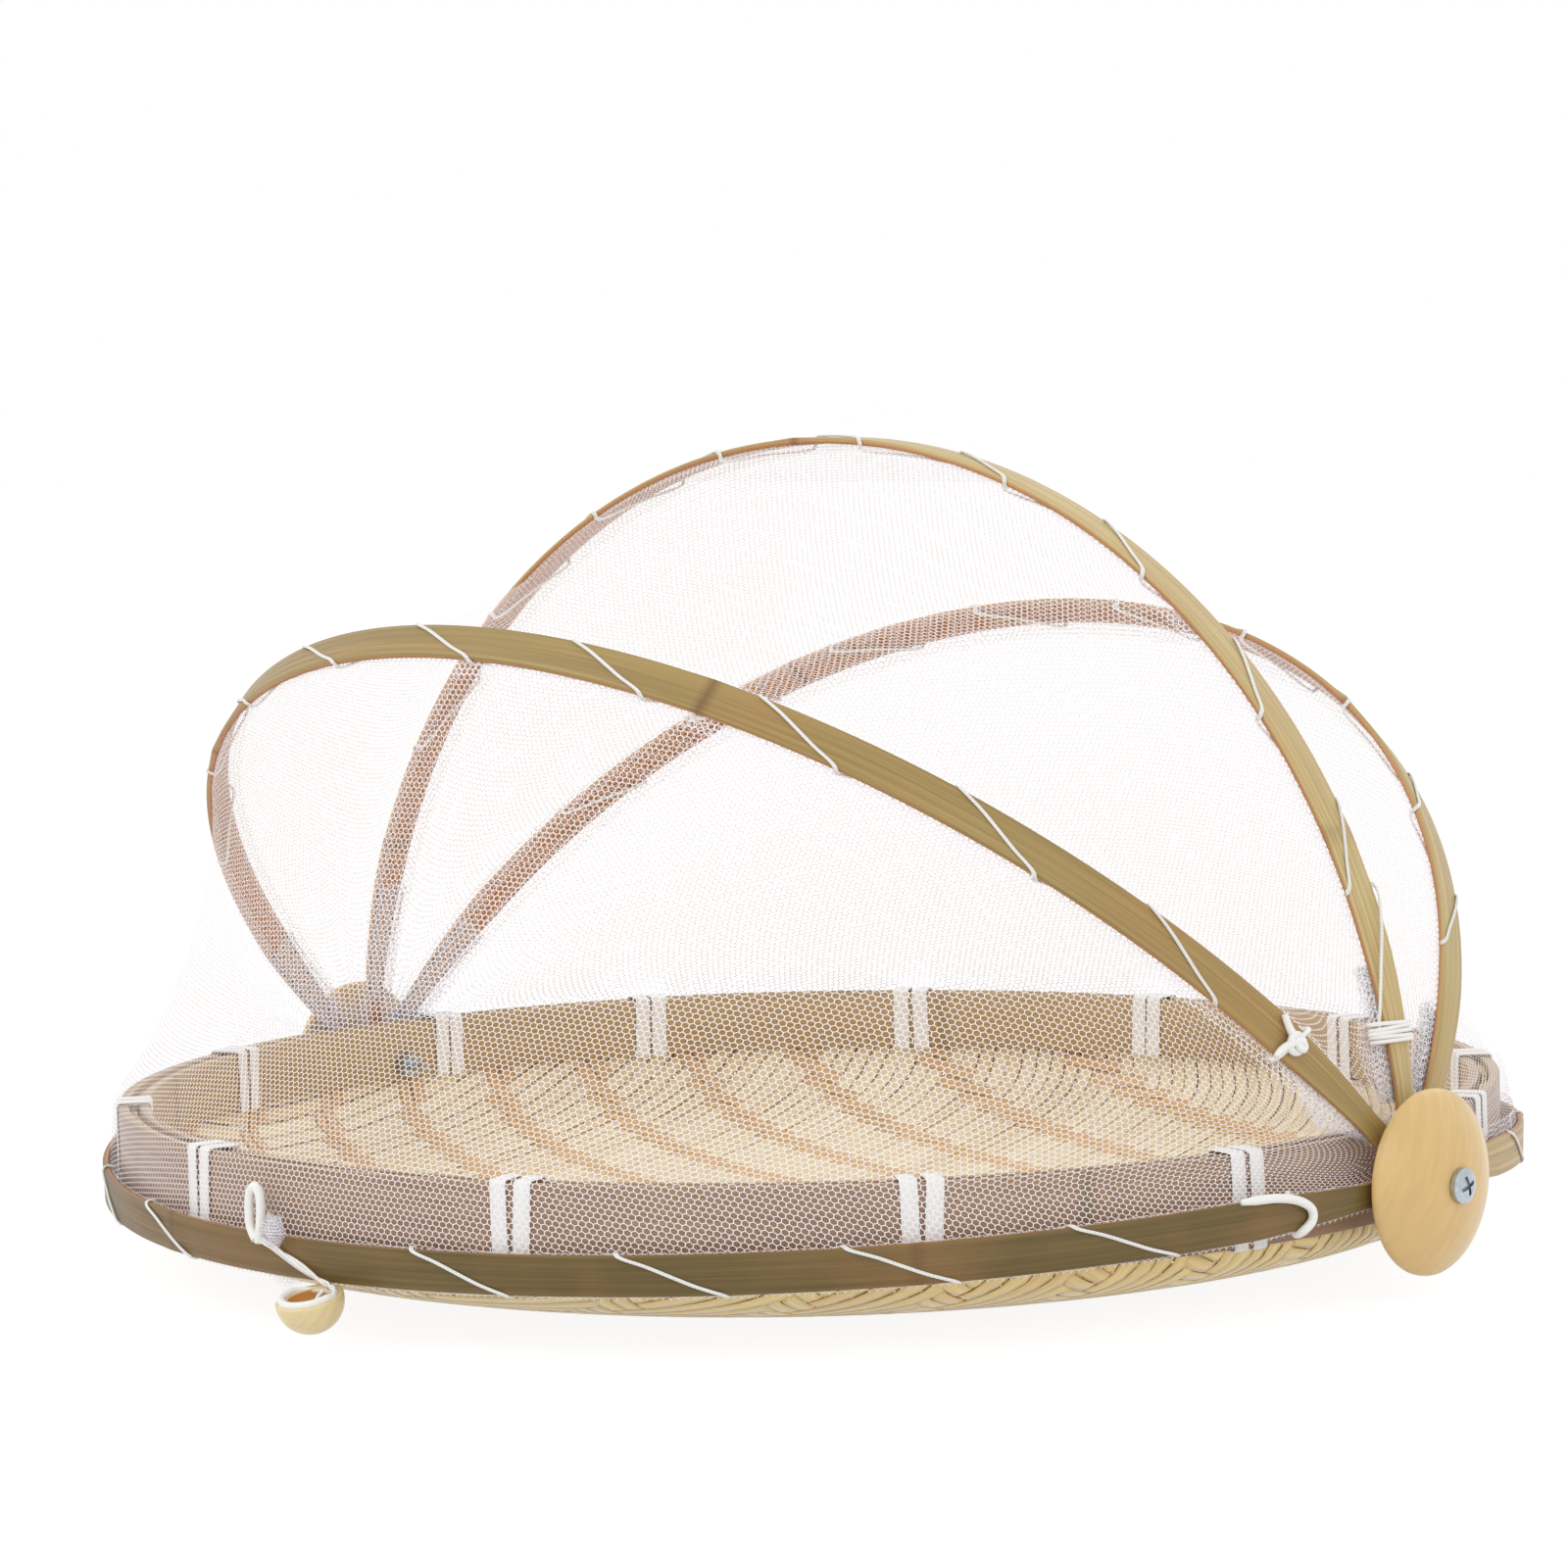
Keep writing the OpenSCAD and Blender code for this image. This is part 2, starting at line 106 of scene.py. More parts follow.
class TrayBambooSettings(bpy.types.PropertyGroup):
    skin_front_low: colour("Front low skin", "Outer face of the front low hoop", linear(108, 90, 48))
    skin_front_high: colour("Front high skin", "Outer face of the front high hoop", linear(163, 138, 84))
    skin_top: colour("Top skin", "Outer face of the top hoop", linear(200, 180, 126))
    skin_back_high: colour("Back high skin", "Outer face of the back high hoop", linear(190, 170, 116))
    skin_back_low: colour("Back low skin", "Outer face of the back low hoop", linear(190, 162, 112))
    inner: colour("Inner face", "Inner faces and edges of the hoops", linear(188, 132, 84))
    rim: colour("Rim", "Outer faces of the rim's bent strips", linear(156, 124, 98))
    rim_inner: colour("Rim inside", "Inner faces and edges of the rim's bent strips", linear(186, 156, 108))
    knot_spacing: length("Knot spacing", "Distance between two growth rings along a strip", 0.23)
    corner: length("Corner radius", "Rounding of a strip's long edges", 0.45 * MM)


class TrayWeaveSettings(bpy.types.PropertyGroup):
    straw: colour("Straw", "Upper side of the long woven strips", linear(250, 235, 200))
    crossing: colour("Crossing", "Upper side of the strips that cross them", linear(230, 192, 140))
    golden: colour("Golden", "Under side of the woven strips", linear(252, 226, 152))
    pitch: length("Pitch", "Distance between neighbouring long strips", 5.0 * MM)
    strip_width: length("Strip width", "Mean width of a long strip", 4.55 * MM)
    cross_pitch: length("Crossing pitch", "Distance between neighbouring crossing strips", 4.75 * MM)
    cross_width: length("Crossing width", "Mean width of a crossing strip", 4.2 * MM)
    strip_thick: length("Strip thickness", "Thickness of a woven strip", 0.5 * MM)
    wave: length("Wave", "How far a strip rises over and dips under the others", 0.42 * MM)


class TrayNetSettings(bpy.types.PropertyGroup):
    net: colour("Net", "Thread of the net", linear(250, 246, 252))
    mesh: length("Mesh", "Distance between the net's holes", 2.0 * MM)
    yarn: length("Yarn", "Thickness of the net's thread", 0.28 * MM)
    flatten: bpy.props.FloatProperty(
        name="Flatten", description="How much closer the rows of holes lie than in a regular mesh", default=1.237
    )
    sag: bpy.props.FloatProperty(
        name="Sag", description="Depth of a panel's hollow as a share of its span", default=0.07
    )


class TrayThreadSettings(bpy.types.PropertyGroup):
    white: colour("Thread", "Lacing thread, ties and cords", linear(244, 243, 239))
    strap: colour("Strap", "Flat straps round the rim", linear(240, 238, 234))
    strand: length("Strand", "Radius of one of the lacing's two strands", 0.34 * MM)
    cord: length("Cord", "Radius of the soft cords of the ties and the knob", 1.1 * MM)


class TrayFittingSettings(bpy.types.PropertyGroup):
    button: colour("Button", "Varnished wood of the pivot buttons", linear(218, 182, 116))
    knob: colour("Knob", "Varnished wood of the pull knob", linear(230, 208, 156))
    zinc: colour("Zinc", "Screws and nuts", linear(196, 204, 212))


class TrayStageSettings(bpy.types.PropertyGroup):
    azimuth: bpy.props.FloatProperty(
        name="Azimuth", description="Turn of the camera round the tray", default=math.radians(43.53), subtype="ANGLE"
    )
    elevation: bpy.props.FloatProperty(
        name="Elevation", description="Height angle of the camera", default=math.radians(4.83), subtype="ANGLE"
    )
    roll: bpy.props.FloatProperty(
        name="Roll", description="Tilt of the camera", default=math.radians(-1.39), subtype="ANGLE"
    )
    distance: length("Distance", "From the camera to the pivots' middle", 1.502)
    aim_right: length("Aim right", "How far the camera aims right of the pivots' middle", -0.017)
    aim_up: length("Aim up", "How far the camera aims above the pivots' middle", 0.0958)
    lens: bpy.props.FloatProperty(name="Lens", description="Focal length in millimetres", default=119.0)
    key: bpy.props.FloatProperty(name="Key light", description="Power of the key light in watts", default=8.0)
    fill: bpy.props.FloatProperty(name="Fill light", description="Power of the fill light in watts", default=4.0)
    ambient: bpy.props.FloatProperty(name="Ambient", description="Strength of the white room", default=0.92)


SETTINGS = {
    "tray_bamboo": TrayBambooSettings,
    "tray_weave": TrayWeaveSettings,
    "tray_net": TrayNetSettings,
    "tray_thread": TrayThreadSettings,
    "tray_fitting": TrayFittingSettings,
    "tray_stage": TrayStageSettings,
}


# ---- Measures taken from the CAD parts ----

PIVOT = Vector(frame["joints"][0]["pos_m"])
RIM_LOW, RIM_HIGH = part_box("rim_outer_hoop")
RIM_RADIUS = RIM_HIGH.x
RIM_BOTTOM, RIM_TOP = RIM_LOW.z, RIM_HIGH.z
INNER_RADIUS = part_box("rim_inner_hoop")[1].x
INNER_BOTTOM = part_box("rim_inner_hoop")[0].z
BASE_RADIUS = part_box("woven_base")[1].x
BASE_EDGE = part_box("woven_base")[1].z
STRAP_THICK = 0.5 * MM


def node_points(name):
    """The corners of a CAD node's mesh, as an array."""
    return np.array([v.co for v in frame["nodes"][name].data.vertices], float)


RIM_WALL = RIM_RADIUS - np.hypot(*node_points("rim_outer_hoop")[:, :2].T).min()
CLEAR_RADIUS = np.hypot(*node_points("rim_inner_hoop")[:, :2].T).min()
FOOT_RADIUS = 0.1


class Hoop:
    """A strip of the cover, measured from its CAD node: half span, reach and angle."""

    thick = 1.8 * MM
    eye = 3.3 * MM
    tip_from, tip_to = 0.025, 0.060

    def __init__(self, name):
        points = node_points("hoop_" + name) - np.array(PIVOT)
        away = np.hypot(points[:, 1], points[:, 2])
        far = points[away > away.max() - 0.2 * MM].mean(0)
        self.name = name
        self.angle = math.atan2(far[2], -far[1])
        self.out = np.array([0, -math.cos(self.angle), math.sin(self.angle)])
        self.side = np.array([0, math.sin(self.angle), math.cos(self.angle)])
        self.width = np.ptp(points @ self.side)
        self.reach = (points @ self.out).max() - self.thick / 2
        self.span = np.abs(points[:, 0]).max() - self.thick / 2
        tips = points[points @ self.out < 0.01]
        self.tip = np.ptp(tips @ self.side)

    def flat(self, t, off):
        """Place in the hoop's plane at t degrees from the right-hand pivot, off outside the middle."""
        a = np.radians(np.asarray(t, float))
        normal = np.stack([self.reach * np.cos(a), self.span * np.sin(a)], -1)
        normal /= np.linalg.norm(normal, axis=-1, keepdims=True)
        place = np.stack([self.span * np.cos(a), self.reach * np.sin(a)], -1)
        return place + normal * np.asarray(off, float)[..., None]

    def at(self, t, off=0.0, side=0.0):
        """The same place in the frame, side towards the next hoop."""
        t, off, side = np.broadcast_arrays(*(np.asarray(v, float) for v in (t, off, side)))
        p = self.flat(t, off)
        along_x = np.array([1.0, 0.0, 0.0])
        return (
            np.array(PIVOT)
            + p[..., :1] * along_x
            + p[..., 1:] * self.out
            + side[..., None] * self.side
        )

    def along(self, line):
        """The places of a line of (t, off, side) rows."""
        return self.at(*line.T)

    def half_width(self, t):
        """Half of the strip's width at t, narrower near the pivots."""
        depth = self.reach * np.sin(np.radians(np.asarray(t, float)))
        share = np.clip((depth - self.tip_from) / (self.tip_to - self.tip_from), 0, 1)
        return (self.tip + (self.width - self.tip) * share) / 2


HOOP = {name: Hoop(name) for name in HOOPS}


# ---- Meshes ----


def grid_faces(rows, columns, start=0, round_rows=False, round_columns=False):
    """Quads over a grid of points that lie row by row."""
    faces = []
    for i in range(rows if round_rows else rows - 1):
        for j in range(columns if round_columns else columns - 1):
            a, b = i * columns + j, i * columns + (j + 1) % columns
            c = ((i + 1) % rows) * columns
            faces.append((start + a, start + b, start + c + (j + 1) % columns, start + c + j))
    return faces


def rounded_box(half_a, half_b, radius, steps=2):
    """Outline of a rectangle with round corners, as (a, b) pairs, anticlockwise."""
    outline = []
    for k, (sa, sb) in enumerate(((1, 1), (-1, 1), (-1, -1), (1, -1))):
        for i in range(steps + 1):
            turn = math.pi / 2 * (k + i / steps)
            outline.append(
                (
                    sa * (half_a - radius) + radius * math.cos(turn),
                    sb * (half_b - radius) + radius * math.sin(turn),
                )
            )
    return np.array(outline)


def spline(knots, steps=6, closed=False):
    """A smooth line through the knots."""
    k = np.array(knots, float)
    if closed:
        k = np.vstack([k[-1:], k, k[:2]])
    else:
        k = np.vstack([2 * k[:1] - k[1:2], k, 2 * k[-1:] - k[-2:-1]])
    line = []
    for i in range(1, len(k) - 2):
        for s in np.arange(steps) / steps:
            a, b, c, d = k[i - 1 : i + 3]
            line.append(
                0.5
                * (
                    2 * b
                    + (c - a) * s
                    + (2 * a - 5 * b + 4 * c - d) * s * s
                    + (3 * b - a - 3 * c + d) * s**3
                )
            )
    if not closed:
        line.append(k[-2])
    return np.array(line)


def travelled(line):
    """Distance along a line of points, from its first one."""
    return np.concatenate([[0], np.cumsum(np.linalg.norm(np.diff(line, axis=0), axis=1))])


class Shape:
    """Points and faces gathered from several pieces and made into one mesh object."""

    def __init__(self):
        self.points, self.faces, self.uv, self.marks = [], [], [], []
        self.count = 0

    def add(self, points, faces, uv=None, **marks):
        points = np.asarray(points, float).reshape(-1, 3)
        uv = np.zeros((len(points), 2)) if uv is None else np.asarray(uv, float).reshape(-1, 2)
        self.points.append(points)
        self.uv.append(uv)
        self.faces.extend(tuple(self.count + i for i in face) for face in faces)
        self.marks.append({k: np.broadcast_to(np.asarray(v, float).ravel(), len(points)) for k, v in marks.items()})
        self.count += len(points)

    def add_grid(self, points, uv=None, round_rows=False, round_columns=False, caps=False, **marks):
        """Adds a sheet or a tube from an array of rows of points."""
        rows, columns = points.shape[:2]
        faces = grid_faces(rows, columns, 0, round_rows, round_columns)
        if caps:
            faces.append(tuple(range(columns))[::-1])
            faces.append(tuple(range((rows - 1) * columns, rows * columns)))
        self.add(points, faces, uv, **marks)

    def add_tube(self, line, radius, sides=8, closed=False, **marks):
        """Adds a round cord along a line; radius may change along it."""
        line = np.asarray(line, float)
        n = len(line)
        ahead = np.roll(line, -1, 0) if closed else np.vstack([line[1:], 2 * line[-1:] - line[-2:-1]])
        behind = np.roll(line, 1, 0) if closed else np.vstack([2 * line[:1] - line[1:2], line[:-1]])
        along = ahead - behind
        along /= np.linalg.norm(along, axis=1, keepdims=True) + 1e-12
        start = np.array([0.0, 0.0, 1.0]) if abs(along[0][2]) < 0.9 else np.array([1.0, 0.0, 0.0])
        up = start - along[0] * (start @ along[0])
        ups = []
        for direction in along:
            up = up - direction * (up @ direction)
            up /= np.linalg.norm(up) + 1e-12
            ups.append(up)
        ups = np.array(ups)
        sides_dir = np.cross(along, ups)
        turn = np.arange(sides) * TAU / sides
        radius = np.broadcast_to(np.asarray(radius, float), n)
        ring = (
            line[:, None]
            + radius[:, None, None] * np.cos(turn)[None, :, None] * ups[:, None]
            + radius[:, None, None] * np.sin(turn)[None, :, None] * sides_dir[:, None]
        )
        distance = travelled(line)
        uv = np.stack(np.broadcast_arrays(distance[:, None], turn[None] * radius[:, None]), -1)
        self.add_grid(ring, uv, round_rows=closed, round_columns=True, caps=not closed, **marks)

    def make(self, name, material, smooth=True):
        points, uv = np.vstack(self.points), np.vstack(self.uv)
        mesh = bpy.data.meshes.new(name)
        mesh.from_pydata(points.tolist(), [], self.faces)
        loops = np.zeros(len(mesh.loops), np.int32)
        mesh.loops.foreach_get("vertex_index", loops)
        mesh.uv_layers.new(name="UVMap").data.foreach_set("uv", uv[loops].astype(np.float32).ravel())
        for mark in sorted({k for marks in self.marks for k in marks}):
            parts = [
                marks.get(mark, np.zeros(len(points_))) for marks, points_ in zip(self.marks, self.points)
            ]
            values = mesh.attributes.new(mark, "FLOAT", "POINT")
            values.data.foreach_set("value", np.concatenate(parts).astype(np.float32))
        mesh.polygons.foreach_set("use_smooth", [smooth] * len(mesh.polygons))
        mesh.materials.append(material)
        mesh.validate()
        piece = bpy.data.objects.new(name, mesh)
        bpy.context.scene.collection.objects.link(piece)
        return piece


def place(piece, body, slot, *nodes):
    """Rides a finished piece on its body and hides the CAD nodes that it replaces."""
    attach(piece, body)
    if nodes:
        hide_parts(*nodes)
    return piece


def lathe(shape, profile, centre, axis, across, steps=96, **marks):
    """Adds a turned shape from (radius, height) pairs, about an axis through centre."""
    profile = np.asarray(profile, float)
    axis, across = np.asarray(axis, float), np.asarray(across, float)
    third = np.cross(axis, across)
    turn = np.arange(steps) * TAU / steps
    ring = np.cos(turn)[:, None] * across + np.sin(turn)[:, None] * third
    points = (
        np.asarray(centre, float)
        + profile[:, None, 1, None] * axis
        + profile[:, None, 0, None] * ring[None]
    )
    run = travelled(profile)
    uv = np.stack(np.broadcast_arrays(run[:, None], turn[None] * profile[:, None, 0]), -1)
    shape.add_grid(points, uv, round_columns=True, **marks)


# ---- Shader node groups and materials ----


class Tree:
    """Adds nodes to a shader tree and joins them."""

    def __init__(self, tree):
        self.tree = tree

    def add(self, kind, inputs=(), **settings):
        node = self.tree.nodes.new("ShaderNode" + kind)
        for key, value in settings.items():
            setattr(node, key, value)
        for key, value in dict(inputs).items():
            self.put(node.inputs[key], value)
        return node

    def put(self, socket, value):
        if isinstance(value, bpy.types.NodeSocket):
            self.tree.links.new(value, socket)
        else:
            socket.default_value = value

    def math(self, operation, *values, clamp=False):
        node = self.add("Math", operation=operation, use_clamp=clamp)
        for socket, value in zip(node.inputs, values):
            self.put(socket, value)
        return node.outputs[0]

    def vector(self, operation, *values):
        node = self.add("VectorMath", operation=operation)
        for socket, value in zip(node.inputs, values):
            self.put(socket, value)
        return node.outputs["Value" if operation in ("LENGTH", "DOT_PRODUCT") else "Vector"]

    def mix(self, share, a, b, blend="MIX"):
        node = self.add("Mix", data_type="RGBA", blend_type=blend)
        self.put(node.inputs["Factor"], share)
        self.put(node.inputs["A"], a)
        self.put(node.inputs["B"], b)
        return node.outputs["Result"]

    def spread(self, value, low, high, to_low=0.0, to_high=1.0, kind="SMOOTHSTEP"):
        node = self.add(
            "MapRange",
            {"Value": value, "From Min": low, "From Max": high, "To Min": to_low, "To Max": to_high},
            interpolation_type=kind,
        )
        return node.outputs["Result"]

    def noise(self, vector, scale, detail=3.0, rough=0.55):
        node = self.add("TexNoise", {"Vector": vector, "Scale": scale, "Detail": detail, "Roughness": rough})
        return node.outputs["Fac"]


def group(name, inputs, outputs, fill):
    """A shader node group with named sockets, built once; fill adds its nodes."""
    made = bpy.data.node_groups.get(name)
    if made:
        return made
    made = bpy.data.node_groups.new(name, "ShaderNodeTree")
    for socket, kind, default in inputs:
        item = made.interface.new_socket(socket, in_out="INPUT", socket_type="NodeSocket" + kind)
        if default is not None:
            item.default_value = default
    for socket, kind in outputs:
        made.interface.new_socket(socket, in_out="OUTPUT", socket_type="NodeSocket" + kind)
    tree = Tree(made)
    source = made.nodes.new("NodeGroupInput")
    sink = made.nodes.new("NodeGroupOutput")
    for socket, value in fill(tree, source.outputs).items():
        made.links.new(value, sink.inputs[socket])
    return made


def fibres_group():
    """Long fibres: light and dark streaks along U, and their height."""

    def fill(tree, given):
        stretched = tree.vector("MULTIPLY", given["Place"], given["Fineness"])
        shifted = tree.vector("ADD", stretched, given["Shift"])
        broad = tree.noise(shifted, 1.0, 4.0, 0.6)
        fine = tree.noise(tree.vector("MULTIPLY", shifted, (2.0, 4.5, 1.0)), 1.0, 2.0, 0.5)
        streaks = tree.math("ADD", tree.math("MULTIPLY", broad, 0.62), tree.math("MULTIPLY", fine, 0.38))
        return {"Streaks": tree.spread(streaks, 0.33, 0.67), "Height": fine}

    return group(
        "Tray Fibres",
        [
            ("Place", "Vector", None),
            ("Fineness", "Vector", (14.0, 1100.0, 1.0)),
            ("Shift", "Vector", (0.0, 0.0, 0.0)),
        ],
        [("Streaks", "Float"), ("Height", "Float")],
        fill,
    )


def stains_group():
    """Soft patches of colour over a piece, such as sun and handling leave."""

    def fill(tree, given):
        place = tree.add("TexCoord").outputs["Object"]
        moved = tree.vector("ADD", place, given["Shift"])
        patches = tree.noise(moved, given["Scale"], 3.0, 0.5)
        return {"Mask": tree.spread(patches, 0.38, 0.66)}

    return group(
        "Tray Stains",
        [("Scale", "Float", 30.0), ("Shift", "Vector", (0.0, 0.0, 0.0))],
        [("Mask", "Float")],
        fill,
    )


def tulle_group():
    """Hexagonal holes of a net: 1 on the thread, 0 in the holes, and the thread's height."""
    cell = (1.0, math.sqrt(3), 1.0)
    half = (0.5, math.sqrt(3) / 2, 0.0)
    slant = (0.5, math.sqrt(3) / 2, 0.0)
    far = (400.0, 400.0 * math.sqrt(3), 0.0)

    def fill(tree, given):
        scaled = tree.add("VectorMath", operation="DIVIDE")
        tree.put(scaled.inputs[0], given["Place"])
        pitch = tree.add("CombineXYZ", {"X": given["Pitch"], "Y": given["Pitch"], "Z": 1.0})
        tree.put(scaled.inputs[1], pitch.outputs[0])
        place = tree.vector("ADD", scaled.outputs[0], far)
        first = tree.vector("SUBTRACT", tree.vector("MODULO", place, cell), half)
        other = tree.vector("MODULO", tree.vector("ADD", place, half), cell)
        other = tree.vector("SUBTRACT", other, half)
        flat = (1.0, 1.0, 0.0)
        first, other = tree.vector("MULTIPLY", first, flat), tree.vector("MULTIPLY", other, flat)
        nearer = tree.math("LESS_THAN", tree.vector("LENGTH", first), tree.vector("LENGTH", other))
        chosen = tree.add("Mix", data_type="VECTOR")
        tree.put(chosen.inputs["Factor"], nearer)
        tree.put(chosen.inputs[4], other)
        tree.put(chosen.inputs[5], first)
        point = tree.vector("ABSOLUTE", chosen.outputs[1])
        x = tree.add("SeparateXYZ", {"Vector": point}).outputs["X"]
        edge = tree.math("MAXIMUM", x, tree.vector("DOT_PRODUCT", point, slant))
        share = tree.math("DIVIDE", tree.math("DIVIDE", given["Yarn"], given["Pitch"]), 2.0)
        low = tree.math("SUBTRACT", 0.5, share)
        mask = tree.add("MapRange", {"Value": edge, "From Min": low}, interpolation_type="LINEAR")
        tree.put(mask.inputs["From Max"], tree.math("ADD", low, 0.02))
        return {"Yarn Mask": mask.outputs["Result"], "Height": tree.spread(edge, 0.3, 0.5)}

    return group(
        "Tray Tulle",
        [("Place", "Vector", None), ("Pitch", "Float", 2.0 * MM), ("Yarn", "Float", 0.3 * MM)],
        [("Yarn Mask", "Float"), ("Height", "Float")],
        fill,
    )


def new_material(name):
    material = bpy.data.materials.new(name)
    material.use_nodes = True
    tree = Tree(material.node_tree)
    shader = material.node_tree.nodes["Principled BSDF"]
    return material, tree, shader


def rgba(values):
    return (*values, 1.0)


def darker(values, share):
    return tuple(v * share for v in values)


def use_group(tree, made, **inputs):
    node = tree.add("Group", node_tree=made)
    for socket, value in inputs.items():
        tree.put(node.inputs[socket.replace("_", " ")], value)
    return node


def bump(tree, shader, height, strength, distance):
    node = tree.add("Bump", {"Height": height, "Strength": strength, "Distance": distance})
    tree.put(shader.inputs["Normal"], node.outputs["Normal"])


def bamboo_material(name, skin, inner, seed, coat=0.06):
    """Split bamboo: a green-brown skin outside, paler wood inside, dark growth rings."""
    material, tree, shader = new_material(name)
    uv = tree.add("UVMap").outputs["UV"]
    shift = (seed * 3.1, seed * 7.7, 0.0)
    fibres = use_group(tree, fibres_group(), Place=uv, Fineness=(9.0, 900.0, 1.0), Shift=shift)
    stains = use_group(tree, stains_group(), Scale=24.0, Shift=shift)
    outside = tree.add("Attribute", attribute_name="skin").outputs["Fac"]
    knot = tree.add("Attribute", attribute_name="knot").outputs["Fac"]
    streaks = fibres.outputs["Streaks"]
    skin_colour = tree.mix(streaks, rgba(darker(skin, 0.72)), rgba(darker(skin, 1.16)))
    sunned = tree.mix(0.55, skin_colour, rgba(inner))
    skin_colour = tree.mix(tree.math("MULTIPLY", stains.outputs["Mask"], 0.35), skin_colour, sunned)
    inner_colour = tree.mix(streaks, rgba(darker(inner, 0.78)), rgba(darker(inner, 1.12)))
    both = tree.mix(outside, inner_colour, skin_colour)
    ringed = tree.mix(tree.math("MULTIPLY", knot, 0.75), both, rgba(darker(inner, 0.3)))
    tree.put(shader.inputs["Base Color"], ringed)
    tree.put(shader.inputs["Roughness"], tree.spread(streaks, 0.0, 1.0, 0.5, 0.36, "LINEAR"))
    shader.inputs["Specular IOR Level"].default_value = 0.35
    shader.inputs["Coat Weight"].default_value = coat
    shader.inputs["Coat Roughness"].default_value = 0.35
    bump(tree, shader, fibres.outputs["Height"], 0.25, 0.2 * MM)
    return material


def straw_material(name, straw, crossing, golden):
    """Thin woven strips: pale above, golden and shinier below, each with its own tone."""
    material, tree, shader = new_material(name)
    uv = tree.add("UVMap").outputs["UV"]
    tone = tree.add("Attribute", attribute_name="tone").outputs["Fac"]
    under = tree.add("Attribute", attribute_name="under").outputs["Fac"]
    across = tree.add("Attribute", attribute_name="across").outputs["Fac"]
    own = tree.add("CombineXYZ", {"X": tree.math("MULTIPLY", tone, 40.0), "Y": tree.math("MULTIPLY", tone, 90.0)})
    fibres = use_group(tree, fibres_group(), Place=uv, Fineness=(12.0, 1500.0, 1.0), Shift=own.outputs[0])
    stains = use_group(tree, stains_group(), Scale=16.0)
    streaks = fibres.outputs["Streaks"]
    long_ones = tree.mix(streaks, rgba(darker(straw, 0.84)), rgba(darker(straw, 1.04)))
    short_ones = tree.mix(streaks, rgba(darker(crossing, 0.8)), rgba(darker(crossing, 1.12)))
    above = tree.mix(across, long_ones, short_ones)
    below = tree.mix(streaks, rgba(darker(golden, 0.82)), rgba(darker(golden, 1.1)))
    both = tree.mix(under, above, below)
    toned = tree.mix(tree.spread(tone, 0.4, 1.0, 0.0, 0.35, "LINEAR"), both, rgba(darker(crossing, 0.95)))
    stained = tree.mix(tree.math("MULTIPLY", stains.outputs["Mask"], 0.12), toned, rgba(darker(crossing, 0.8)))
    tree.put(shader.inputs["Base Color"], stained)
    tree.put(shader.inputs["Roughness"], tree.spread(under, 0.0, 1.0, 0.5, 0.3, "LINEAR"))
    shader.inputs["Coat Weight"].default_value = 0.35
    shader.inputs["Coat Roughness"].default_value = 0.22
    bump(tree, shader, fibres.outputs["Height"], 0.3, 0.15 * MM)
    return material


def wood_material(name, shade, seed, scale=1.0):
    """Turned pale wood under clear varnish: faint rings of grain and small dark pores."""
    material, tree, shader = new_material(name)
    place = tree.add("TexCoord").outputs["Object"]
    turned = tree.add("Mapping", {"Vector": place, "Location": (seed, 0.3 * seed, 0.0), "Rotation": (0.5, 0.3, 0.2)})
    squeezed = tree.vector("MULTIPLY", turned.outputs[0], (60.0 * scale, 420.0 * scale, 60.0 * scale))
    grain = tree.spread(tree.noise(squeezed, 1.0, 4.0, 0.6), 0.32, 0.7)
    cloudy = tree.spread(tree.noise(turned.outputs[0], 55.0 * scale, 2.0, 0.5), 0.35, 0.7)
    pores = tree.noise(tree.vector("MULTIPLY", turned.outputs[0], (700.0, 2600.0, 700.0)), 1.0, 1.0, 0.4)
    pore_mask = tree.math("MULTIPLY", tree.spread(pores, 0.7, 0.76), 0.18)
    base = tree.mix(grain, rgba(darker(shade, 1.03)), rgba(darker(shade, 0.94)))
    warm = tree.mix(tree.math("MULTIPLY", cloudy, 0.3), base, rgba(darker(shade, 0.86)))
    outside = tree.mix(pore_mask, warm, rgba(darker(shade, 0.45)))
    # Painted shade: where a piece marks its hollow inside, the wood turns a darker orange-brown.
    hollow = tree.add("Attribute", attribute_name="inside").outputs["Fac"]
    shaded = rgba((shade[0] * 0.8, shade[1] * 0.5, shade[2] * 0.25))
    tree.put(shader.inputs["Base Color"], tree.mix(hollow, outside, shaded))
    tree.put(shader.inputs["Roughness"], tree.spread(grain, 0.0, 1.0, 0.42, 0.5, "LINEAR"))
    shader.inputs["Coat Weight"].default_value = 0.55
    shader.inputs["Coat Roughness"].default_value = 0.16
    bump(tree, shader, tree.noise(turned.outputs[0], 420.0, 2.0, 0.5), 0.22, 0.3 * MM)
    return material


def tulle_material(name, shade, pitch, yarn):
    """Sheer net: white thread round six-sided holes."""
    material, tree, shader = new_material(name)
    uv = tree.add("UVMap").outputs["UV"]
    tulle = use_group(tree, tulle_group(), Place=uv, Pitch=pitch, Yarn=yarn)
    shader.inputs["Base Color"].default_value = rgba(shade)
    shader.inputs["Roughness"].default_value = 0.7
    shader.inputs["Sheen Weight"].default_value = 0.2
    path = tree.add("LightPath")
    lets_light = tree.math("MAXIMUM", path.outputs["Is Shadow Ray"], path.outputs["Is Diffuse Ray"])
    share = tree.math("SUBTRACT", 1.0, tree.math("MULTIPLY", lets_light, 0.8))
    tree.put(shader.inputs["Alpha"], tree.math("MULTIPLY", tulle.outputs["Yarn Mask"], share))
    bump(tree, shader, tulle.outputs["Height"], 0.4, 0.1 * MM)
    return material


